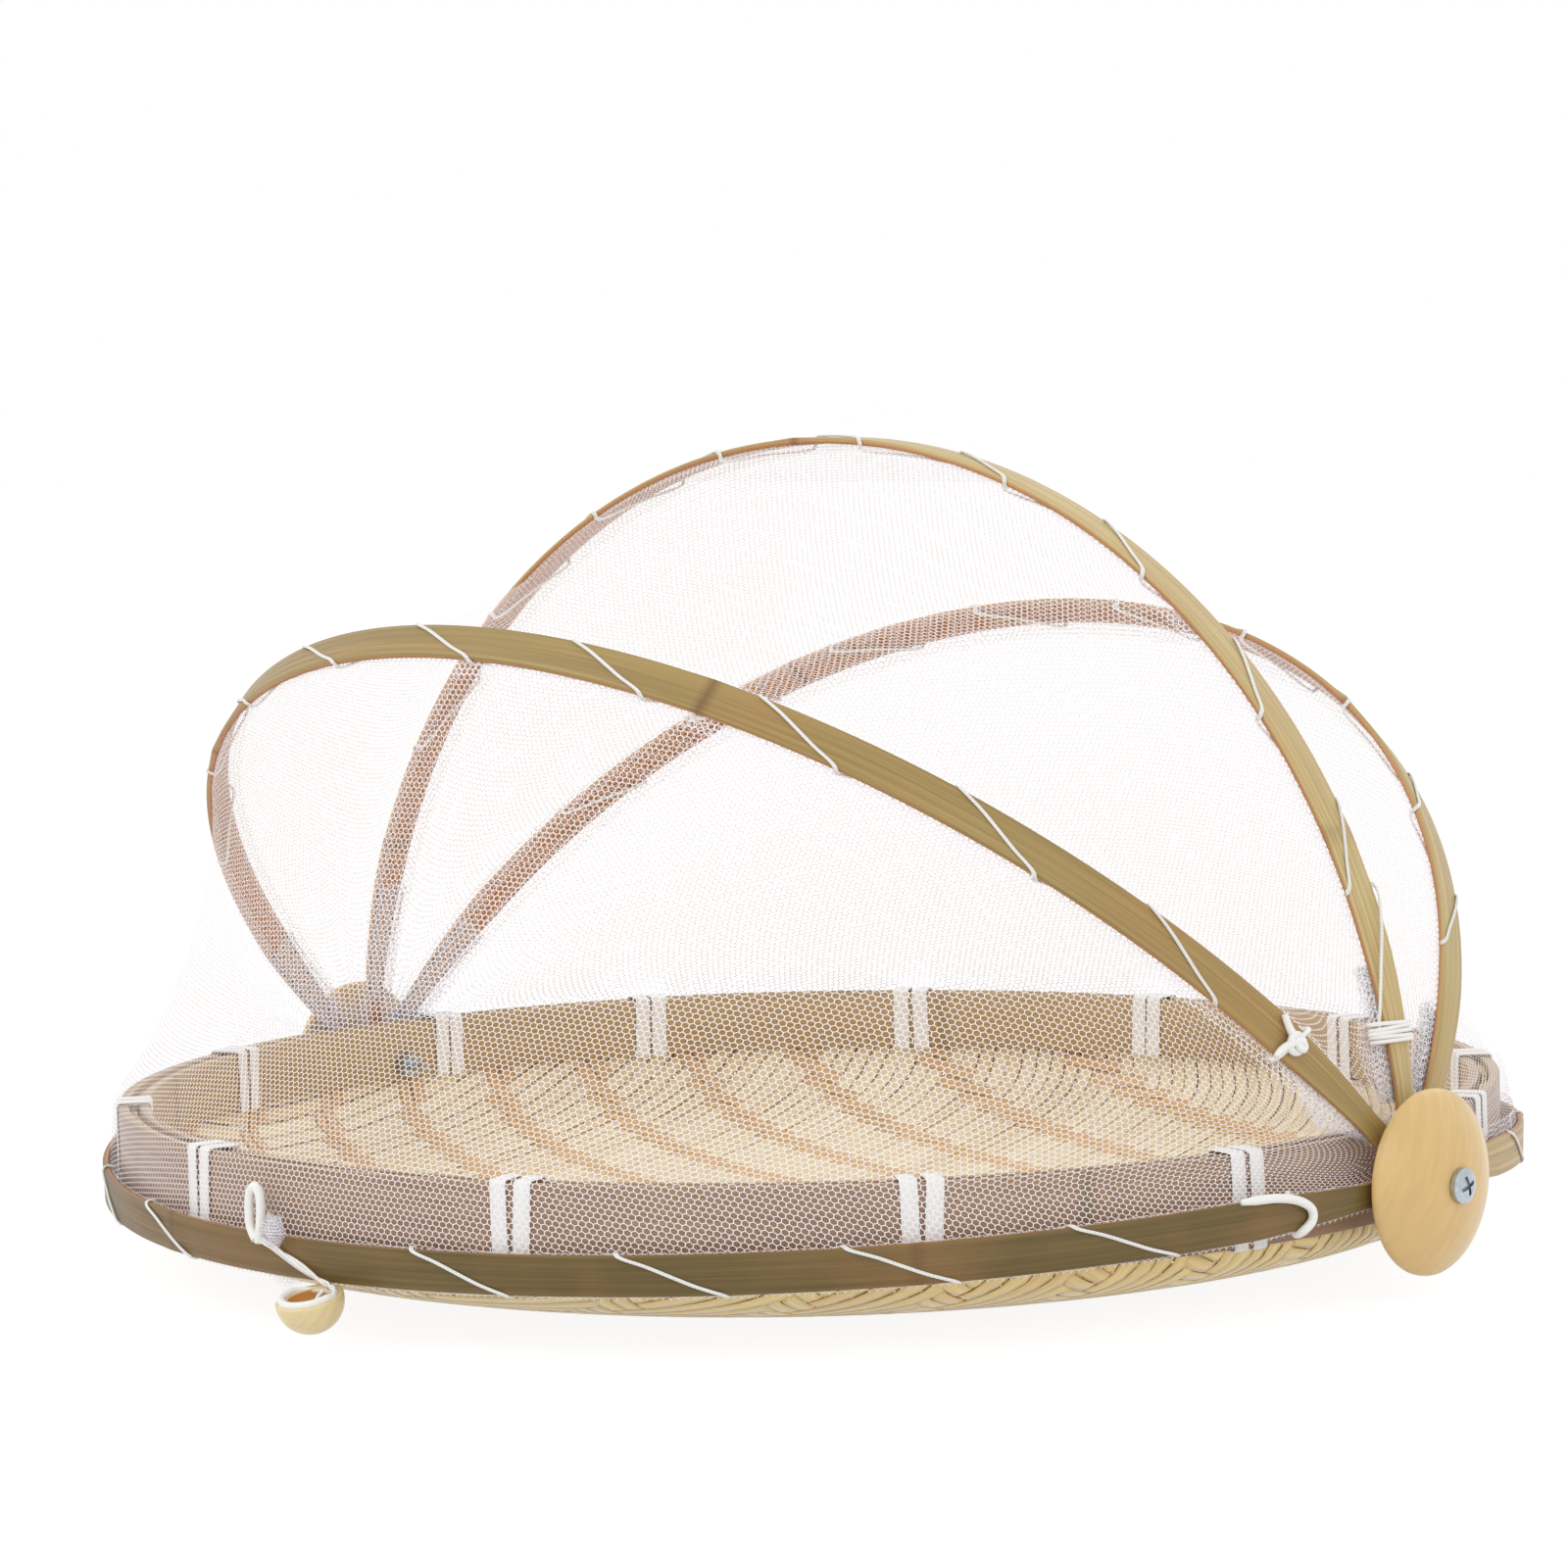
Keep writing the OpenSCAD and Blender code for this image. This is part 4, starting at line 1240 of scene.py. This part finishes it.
def lacing_line(hoop, first, last, clear):
    """The thread's way round a hoop: over the face from edge to edge, back behind it."""
    knots = []
    for k in range(first, last - 1, -1):
        t = LACE_MIDDLE + k * LACE_STEP
        w, deep = hoop.half_width(t), hoop.thick / 2 + clear
        lean = LACE_LEAN
        knots += [
            (t + lean + 0.5, 0.0, w + clear),
            (t + lean, deep, w - 0.5 * MM),
            (t + 0.5 * lean, deep + 0.05 * MM, 0.5 * w),
            (t, deep + 0.05 * MM, 0.0),
            (t - 0.5 * lean, deep + 0.05 * MM, -0.5 * w),
            (t - lean, deep, -w + 0.5 * MM),
            (t - lean - 0.5, 0.0, -w - clear),
        ]
        if k > last:
            back = deep + 1.1 * MM
            gap = LACE_STEP - 2 * lean - 1.0
            knots += [
                (t - lean - 0.9, -back, -w + 0.5 * MM),
                (t - lean - 0.5 - gap / 2, -back, 0.0),
                (t - lean - 0.1 - gap, -back, w - 0.5 * MM),
            ]
    return np.array(knots)


class TRAY_OT_lacing(bpy.types.Operator):
    """Wind the doubled lacing thread round the hoops"""

    bl_idname = "tray.lacing"
    bl_label = "Lacing"

    def execute(self, context):
        settings = context.scene.tray_thread
        material = thread_material("lacing_thread", tuple(settings.white), 5200.0)
        strand = settings.strand
        for name in HOOPS:
            hoop = HOOP[name]
            shape = Shape()
            for side in (-1, 1):
                line = lacing_line(hoop, 4, -4, strand + 0.08 * MM)
                shift = side * strand * 1.05 / hoop.reach * 180 / math.pi
                smooth = spline(line, 5)
                points = hoop.at(smooth[:, 0] + shift, smooth[:, 1], smooth[:, 2])
                shape.add_tube(points, strand, 7)
                if name == "top":
                    shape.add_tube(self.loose_end(hoop, shift), strand, 7)
            piece = shape.make("lace_" + name, material)
            place(piece, name, "thread_white", "lacing_" + name)
        return {"FINISHED"}

    def loose_end(self, hoop, shift):
        """The thread's last free run on the top hoop, from its edge down into the binding."""
        out = hoop.thick / 2
        knots = [
            (23.5 + shift, out - 1.6 * MM, 4.6 * MM),
            (22.6 + shift, out + 0.8 * MM, 5.6 * MM),
            (20.0 + shift, out + 1.5 * MM, 2.2 * MM),
            (16.5 + shift, out + 1.6 * MM, -3.4 * MM),
            (13.4 + shift, out + 1.3 * MM, -7.4 * MM),
            (12.0 + shift, out + 0.3 * MM, -8.2 * MM),
        ]
        line = spline(knots, 6)
        return hoop.along(line)


class TRAY_OT_ties(bpy.types.Operator):
    """Wrap and knot the threads near the right-hand pivot"""

    bl_idname = "tray.ties"
    bl_label = "Binding, knot and tie"

    def execute(self, context):
        settings = context.scene.tray_thread
        material = thread_material("tie_thread", tuple(settings.white), 0.0)
        binding, knot, tie = Shape(), Shape(), Shape()
        self.binding(binding, HOOP["top"])
        self.knot(knot, HOOP["front_high"], settings.cord)
        self.tie(tie, HOOP["front_low"], settings.cord)
        place(binding.make("binding_thread", material), "top", "thread_white", "binding_top")
        place(knot.make("knot_thread", material), "front_high", "thread_white", "knot_front_high")
        place(tie.make("tie_cord", material), "front_low", "thread_white", "tie_front_low")
        return {"FINISHED"}

    def wrap(self, hoop, t, near, far, lift, lean=0.0):
        """A closed way round the strip's section at t, from side near to side far."""
        out = hoop.thick / 2 + lift
        middle = (near + far) / 2
        corners = ((out, near), (out, middle), (out, far), (-out, far), (-out, middle), (-out, near))
        knots = []
        for off, side in corners:
            share = (side - near) / (far - near) - 0.5
            knots.append((t + lean * share, off * (0.9 if side in (near, far) else 1.0), side))
        line = spline(knots, 6, True)
        return hoop.along(line)

    def binding(self, shape, hoop):
        """Five flat turns that gather the net against the top hoop."""
        draw = random.Random(21)
        width = float(hoop.half_width(11.5))
        for i in range(5):
            t = 11.5 + (i - 2) * 0.335
            reach = -width - draw.uniform(4.6, 5.2) * MM
            line = self.wrap(hoop, t, width + 0.7 * MM, reach, draw.uniform(0.55, 0.75) * MM, draw.uniform(-0.3, 0.3))
            shape.add_tube(line, 0.58 * MM, 8, closed=True)

    def knot(self, shape, hoop, cord):
        """A loop round the strip and a knot on its outer face with two short ends."""
        t = 16.0
        width = float(hoop.half_width(t))
        shape.add_tube(self.wrap(hoop, t, width + 0.8 * MM, -width - 0.8 * MM, 0.6 * MM, 1.2), 0.7 * MM, 8, closed=True)
        face = hoop.thick / 2
        knots = (
            (6.8, 4.2, 1.3), (3.0, 1.8, 1.5), (-1.4, -0.8, 2.9), (-2.4, 1.2, 1.7), (0.2, 2.4, 1.3), (2.2, 0.2, 2.5),
            (0.6, -2.2, 1.5), (-1.9, -1.3, 1.3), (-0.6, 1.0, 3.1), (1.7, -1.7, 2.0), (2.8, -4.4, 1.4), (3.4, -6.8, 1.5),
        )
        line = spline(knots, 6) * MM
        speed = hoop.reach * math.cos(math.radians(t)), hoop.span * math.sin(math.radians(t))
        turn = math.degrees(1 / math.hypot(*speed))
        points = hoop.at(t + line[:, 0] * turn, face + line[:, 2], line[:, 1])
        thick = np.interp(np.arange(len(points)), (0, 6, len(points) - 8, len(points) - 1), (0.75, 1.0, 1.0, 0.7))
        shape.add_tube(points, thick * cord, 10)

    def tie(self, shape, hoop, cord):
        """A cord laid along the strip's upper edge, over its face and back behind it."""
        w, out = float(hoop.half_width(12.5)), hoop.thick / 2
        knots = (
            (17.6, out + 0.2 * MM, w + 1.0 * MM),
            (16.2, out + 0.7 * MM, w + 0.9 * MM),
            (14.6, out + 1.0 * MM, w + 0.5 * MM),
            (13.0, out + 1.2 * MM, w - 1.0 * MM),
            (11.9, out + 1.3 * MM, 0.2 * w),
            (11.8, out + 1.2 * MM, -0.5 * w),
            (12.6, out + 0.9 * MM, -w - 0.2 * MM),
            (12.9, -0.2 * MM, -w - 1.1 * MM),
            (12.8, -out - 1.0 * MM, -0.5 * w),
            (12.8, -out - 1.0 * MM, 0.5 * w),
            (13.4, -0.2 * MM, w + 1.0 * MM),
        )
        line = spline(knots, 6)
        points = hoop.along(line)
        place_on = np.arange(len(points)) / (len(points) - 1)
        thick = np.interp(place_on, (0, 0.08, 0.6, 0.75, 1), (0.7, 1.1, 1.1, 0.65, 0.65))
        shape.add_tube(points, thick * cord, 10)


# ---- Pivots ----


class TRAY_OT_pivots(bpy.types.Operator):
    """Turn the wooden buttons and finish the screws and nuts"""

    bl_idname = "tray.pivots"
    bl_label = "Buttons and screws"

    def execute(self, context):
        settings = context.scene.tray_fitting
        for side, word in ((1, "right"), (-1, "left")):
            low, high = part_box("button_" + word)
            wood = wood_material("button_" + word + "_wood", tuple(settings.button), 1.7 * side + 4)
            shape = Shape()
            near, far = (low.x, high.x) if side > 0 else (-high.x, -low.x)
            radius, height = (high.z - low.z) / 2, far - near
            centre = (side * near, PIVOT.y, PIVOT.z)
            lathe(shape, self.button_profile(radius, height), centre, (side, 0, 0), (0, 0, 1))
            place(shape.make("button_" + word + "_turned", wood), "tray", "button_wood", "button_" + word)
        zinc = zinc_material("zinc_plate", tuple(settings.zinc))
        for name in ("screw_right", "screw_left", "nut_right", "nut_left"):
            node = frame["nodes"][name]
            node.data.materials.clear()
            node.data.materials.append(zinc)
            rounded = node.modifiers.new("Rounded edges", "BEVEL")
            rounded.width, rounded.segments, rounded.limit_method = 0.12 * MM, 2, "ANGLE"
            rounded.angle_limit = math.radians(35)
        return {"FINISHED"}

    def button_profile(self, radius, height):
        """Flat back, rounded rim and a low dome, as (radius, height) pairs."""
        edge = 2.0 * MM
        crown = height - edge
        ball = (radius**2 + crown**2) / (2 * crown)
        profile = [(1.6 * MM, 0.0), (radius * 0.5, 0.0), (radius - 1.0 * MM, 0.0)]
        for i in range(1, 6):
            turn = math.pi / 2 * i / 5
            profile.append((radius - 1.0 * MM + 1.0 * MM * math.sin(turn), 1.0 * MM * (1 - math.cos(turn))))
        limit = math.asin((radius - 0.6 * MM) / ball)
        profile.append((radius - 0.12 * MM, edge * 0.95))
        for i in range(25):
            turn = limit * (1 - i / 24)
            profile.append((ball * math.sin(turn), height - ball * (1 - math.cos(turn))))
        profile[-1] = (1.6 * MM, height - 0.02 * MM)
        return profile


# ---- Pull knob ----


class TRAY_OT_knob(bpy.types.Operator):
    """Turn the hollow pull knob and tie it to the front hoop"""

    bl_idname = "tray.knob"
    bl_label = "Pull knob"

    tip = math.radians(14)

    def execute(self, context):
        settings = context.scene.tray_fitting
        threads = context.scene.tray_thread
        low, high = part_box("pull_knob")
        radius = (high.x - low.x) / 2
        centre = np.array([(low.x + high.x) / 2, high.y - radius, low.z + radius])
        axis = np.array([0, -math.sin(self.tip), math.cos(self.tip)])
        mouth, wall = 0.8 * MM, 3.0 * MM
        wood = wood_material("knob_turned_wood", tuple(settings.knob), 8.3, 1.4)
        shape = Shape()
        profile = self.cup(radius, radius - wall, mouth)
        inside = np.repeat(np.arange(len(profile)) >= 32, 72)
        lathe(shape, profile, centre, axis, (1, 0, 0), 72, inside=inside)
        place(shape.make("knob_turned", wood), "front_low", "knob_wood", "pull_knob")
        cord = thread_material("knob_cord_thread", tuple(threads.white), 0.0)
        cords = Shape()
        self.ring(cords, centre, axis, mouth, threads.cord)
        self.loop(cords, centre, threads.cord)
        place(cords.make("knob_tie", cord), "front_low", "thread_white", "knob_cord")
        net = context.scene.tray_net
        scraps = Shape()
        self.scraps(scraps)
        tulle = tulle_material("scrap_tulle", tuple(net.net), net.mesh, net.yarn)
        place(scraps.make("knob_scraps", tulle), "front_low", "net_white")
        return {"FINISHED"}

    def cup(self, outer, inner, mouth):
        """Hollow ball cut open at the top, with a rounded lip."""
        profile = []
        top = math.asin(mouth / outer)
        for i in range(25):
            turn = -math.pi / 2 + (math.pi / 2 + top - 0.04) * i / 24
            profile.append((max(outer * math.cos(turn), 0.05 * MM), outer * math.sin(turn)))
        lip_out, lip_in = profile[-1][0], math.sqrt(inner**2 - mouth**2)
        middle, half = (lip_out + lip_in) / 2, (lip_out - lip_in) / 2
        for i in range(1, 8):
            turn = math.pi * i / 8
            profile.append((middle + half * math.cos(turn), mouth - 0.4 * MM + 0.6 * MM * math.sin(turn)))
        low = math.asin(mouth / inner)
        for i in range(17):
            turn = low - 0.06 - (math.pi / 2 + low - 0.06) * i / 16
            profile.append((max(inner * math.cos(turn), 0.05 * MM), inner * math.sin(turn)))
        return profile

    def ring(self, shape, centre, axis, mouth, thick):
        """Cord laid round the knob's mouth, flattened where it passes the hoop, with a run down inside."""
        up_back = np.array([0, math.cos(self.tip), math.sin(self.tip)])
        knots, radii = [], []
        for a in np.arange(24) * TAU / 24:
            back = max(math.sin(a), 0)
            deep = math.sin(a) * (7.2 - 1.0 * back) * MM
            lift = mouth + (0.5 - 1.5 * back) * MM
            knots.append(centre + np.array([7.2 * MM * math.cos(a), 0, 0]) + deep * up_back + lift * axis)
            radii.append(thick * (0.95 - 0.3 * back))
        line = spline(knots, 4, True)
        shape.add_tube(line, np.interp(np.arange(len(line)) / 4, np.arange(24), radii), 12, closed=True)
        drop = [(1.2, 3.6, 2.0), (1.5, 1.2, 0.4), (1.6, -0.6, -3.0), (1.2, -0.8, -5.3)]
        shape.add_tube(spline([centre + np.array(p) * MM for p in drop], 6), 0.5 * MM, 8)

    def loop(self, shape, centre, thick):
        """Cord loop above the hoop and the twisted thread from it over the hoop's face to the ring."""
        hoop = HOOP["front_low"]
        face = hoop.at(90.0, hoop.thick / 2)[1]
        top, low = (hoop.at(90.0, 0, side * hoop.width / 2)[2] for side in (1, -1))
        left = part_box("knob_cord")[0].x + 2.0 * MM
        path = (
            (1.6, -1.4, -2.4), (2.0, -1.2, 1.5), (2.3, -1.0, 6.0), (1.9, -0.9, 10.2), (0.1, -0.9, 12.3),
            (-1.8, -1.0, 10.4), (-2.2, -1.1, 6.0), (-1.7, -1.2, 1.6), (0.6, -1.5, -1.6),
        )
        knots = [np.array([left, face, top]) + np.array(p) * MM for p in path]
        shape.add_tube(spline(knots, 8), thick * 1.15, 12)
        way = [
            np.array([left + 0.6 * MM, face - 1.5 * MM, top - 0.8 * MM]),
            np.array([left * 0.55 + centre[0] * 0.45, face - 0.9 * MM, (top + low) / 2 + 0.6 * MM]),
            np.array([centre[0] - 1.5 * MM, face - 1.1 * MM, low + 0.9 * MM]),
            centre + np.array([2.6, 4.9, 3.1]) * MM,
            centre + np.array([5.6, 3.6, 2.4]) * MM,
            centre + np.array([7.6, 1.2, 1.6]) * MM,
        ]
        line = spline(way, 12)
        turn = np.linspace(0, 5 * math.pi, len(line))
        for start in (0, math.pi):
            swing = np.stack([0.2 * np.sin(turn + start), 0.3 * np.cos(turn + start), 0.42 * np.sin(turn + start)], -1)
            shape.add_tube(line + swing * MM, 0.42 * MM, 8)

    def scraps(self, shape):
        """A crumpled ball of net beside the loop and a scrap that hangs below the hoop."""
        hoop = HOOP["front_low"]
        face = hoop.at(90.0, hoop.thick / 2)[1]
        back = hoop.at(90.0, -hoop.thick / 2)[1]
        top, low = (hoop.at(90.0, 0, side * hoop.width / 2)[2] for side in (1, -1))
        middle = np.array([1.2 * MM, face - 3.2 * MM, top + 1.9 * MM])
        turns, rises = np.linspace(0, TAU, 25)[:-1], np.linspace(-1.5, 1.5, 13)
        for layer, size in enumerate((2.0, 2.6, 3.2, 3.8)):
            rows = []
            for rise in rises:
                row = []
                for turn in turns:
                    way = Vector((math.cos(turn) * math.cos(rise), math.sin(turn) * math.cos(rise), math.sin(rise)))
                    bumps = noise.noise(way * 1.7 + Vector((layer * 4.0, 0, 0)))
                    bulge = size * (1 + 0.45 * bumps)
                    row.append(middle + np.array([way.x * 0.95, way.y * 0.7, way.z * 1.15]) * bulge * MM)
                rows.append(row)
            points = np.array(rows)
            uv = np.stack(np.broadcast_arrays(turns[None] * size * 2.4 * MM, rises[:, None] * size * 2.4 * MM), -1)
            shape.add_grid(points, uv, round_columns=True)
        across, down = np.linspace(-8.5, 16.0, 26), np.linspace(0, 1, 6)
        for k, drop in enumerate((4.4, 3.0)):
            depth = 0.7 + drop * np.exp(-(((across + 2.2) / (4.0 + 5.0 * (across > -2.2))) ** 2))
            wavy, height = 0.35 * np.sin(across + k)[:, None], 0.8 - depth[:, None] * down
            rows = np.stack(np.broadcast_arrays(across[:, None], wavy, height), -1)
            points = rows * MM + np.array([0, back + (0.5 + 0.5 * k) * MM, low])
            shape.add_grid(points, points[..., [0, 2]] * (1.5 + 0.3 * k))


# ---- Stage ----


class TRAY_OT_stage(bpy.types.Operator):
    """Set the camera, the lamps and the pale floor"""

    bl_idname = "tray.stage"
    bl_label = "Stage"

    def execute(self, context):
        settings = context.scene.tray_stage
        self.camera(context, settings)
        self.lamp("key", (-0.9, -1.5, 1.5), 1.3, settings.key)
        self.lamp("fill", (1.7, -0.7, 1.0), 1.2, settings.fill)
        self.lamp("back", (0.3, 1.6, 1.4), 1.2, settings.fill * 0.8)
        self.world(context, settings.ambient)
        self.floor()
        context.scene.view_settings.view_transform = "Standard"
        return {"FINISHED"}

    def camera(self, context, settings):
        yaw, pitch, roll = settings.azimuth, settings.elevation, settings.roll
        ahead = Vector((-math.sin(yaw) * math.cos(pitch), math.cos(yaw) * math.cos(pitch), -math.sin(pitch)))
        right = Vector((math.cos(yaw), math.sin(yaw), 0))
        up = right.cross(ahead)
        right, up = (
            right * math.cos(roll) + up * math.sin(roll),
            up * math.cos(roll) - right * math.sin(roll),
        )
        aim = Vector((0, PIVOT.y, PIVOT.z)) + right * settings.aim_right + up * settings.aim_up
        lens = bpy.data.cameras.new("Camera")
        lens.sensor_width, lens.lens = 36.0, settings.lens
        lens.clip_start = 0.05
        camera = bpy.data.objects.new("Camera", lens)
        context.scene.collection.objects.link(camera)
        turn = Matrix((right, up, -ahead)).transposed()
        camera.matrix_world = Matrix.Translation(aim - ahead * settings.distance) @ turn.to_4x4()
        context.scene.camera = camera

    def lamp(self, name, place_at, size, power):
        light = bpy.data.lights.new("light_" + name, "AREA")
        light.shape, light.size, light.energy = "DISK", size, power
        lamp = bpy.data.objects.new("light_" + name, light)
        bpy.context.scene.collection.objects.link(lamp)
        lamp.location = place_at
        aim = Vector((0, 0, 0.08)) - lamp.location
        lamp.rotation_mode = "QUATERNION"
        lamp.rotation_quaternion = aim.to_track_quat("-Z", "Y")

    def world(self, context, ambient):
        world = bpy.data.worlds.new("White room")
        world.use_nodes = True
        context.scene.world = world
        tree = Tree(world.node_tree)
        shader = world.node_tree.nodes["Background"]
        seen = self.seen_directly(tree)
        strength = tree.spread(seen, 0.0, 1.0, ambient, 1.0, "LINEAR")
        shader.inputs["Color"].default_value = (1, 1, 1, 1)
        tree.put(shader.inputs["Strength"], strength)

    def seen_directly(self, tree):
        """1 for rays from the camera, and for those mirrored or let through by the object."""
        path = tree.add("LightPath")
        both = tree.math("MAXIMUM", path.outputs["Is Camera Ray"], path.outputs["Is Glossy Ray"])
        return tree.math("MAXIMUM", both, path.outputs["Is Transmission Ray"])

    def floor(self):
        size = 6.0
        shape = Shape()
        corners = [(-size, -size, 0), (size, -size, 0), (size, size, 0), (-size, size, 0)]
        shape.add(corners, [(0, 1, 2, 3)], uv=[(0, 0), (1, 0), (1, 1), (0, 1)])
        material = bpy.data.materials.new("white_floor")
        material.use_nodes = True
        tree = Tree(material.node_tree)
        shader = material.node_tree.nodes["Principled BSDF"]
        seen = self.seen_directly(tree)
        shade = tree.mix(seen, (0.86, 0.86, 0.87, 1), (0.2, 0.2, 0.2, 1))
        tree.put(shader.inputs["Base Color"], shade)
        shader.inputs["Roughness"].default_value = 0.9
        shader.inputs["Specular IOR Level"].default_value = 0.0
        shader.inputs["Emission Color"].default_value = (1, 1, 1, 1)
        tree.put(shader.inputs["Emission Strength"], tree.math("MULTIPLY", seen, 0.9))
        floor = shape.make("floor", material)
        floor.location.z = -0.2 * MM


class TRAY_PT_build(bpy.types.Panel):
    bl_label = "Woven tray"
    bl_idname = "TRAY_PT_build"
    bl_space_type = "VIEW_3D"
    bl_region_type = "UI"
    bl_category = "Tray"

    def draw(self, context):
        for step in STEPS:
            self.layout.operator("tray." + step)
        for name in SETTINGS:
            box = self.layout.box()
            for prop in getattr(context.scene, name).bl_rna.properties:
                if prop.identifier not in ("rna_type", "name"):
                    box.prop(getattr(context.scene, name), prop.identifier)


STEPS = ("stage", "weave", "rim", "hoops", "net", "lacing", "ties", "pivots", "knob")
OPERATORS = (
    TRAY_OT_stage,
    TRAY_OT_weave,
    TRAY_OT_rim,
    TRAY_OT_hoops,
    TRAY_OT_net,
    TRAY_OT_lacing,
    TRAY_OT_ties,
    TRAY_OT_pivots,
    TRAY_OT_knob,
)


def register():
    for settings in SETTINGS.values():
        bpy.utils.register_class(settings)
    for name, settings in SETTINGS.items():
        setattr(bpy.types.Scene, name, bpy.props.PointerProperty(type=settings))
    for operator in OPERATORS:
        bpy.utils.register_class(operator)
    bpy.utils.register_class(TRAY_PT_build)


def unregister():
    bpy.utils.unregister_class(TRAY_PT_build)
    for operator in reversed(OPERATORS):
        bpy.utils.unregister_class(operator)
    for name, settings in SETTINGS.items():
        delattr(bpy.types.Scene, name)
        bpy.utils.unregister_class(settings)


def main():
    register()
    for step in STEPS:
        getattr(bpy.ops.tray, step)()


if __name__ == "__main__":
    main()
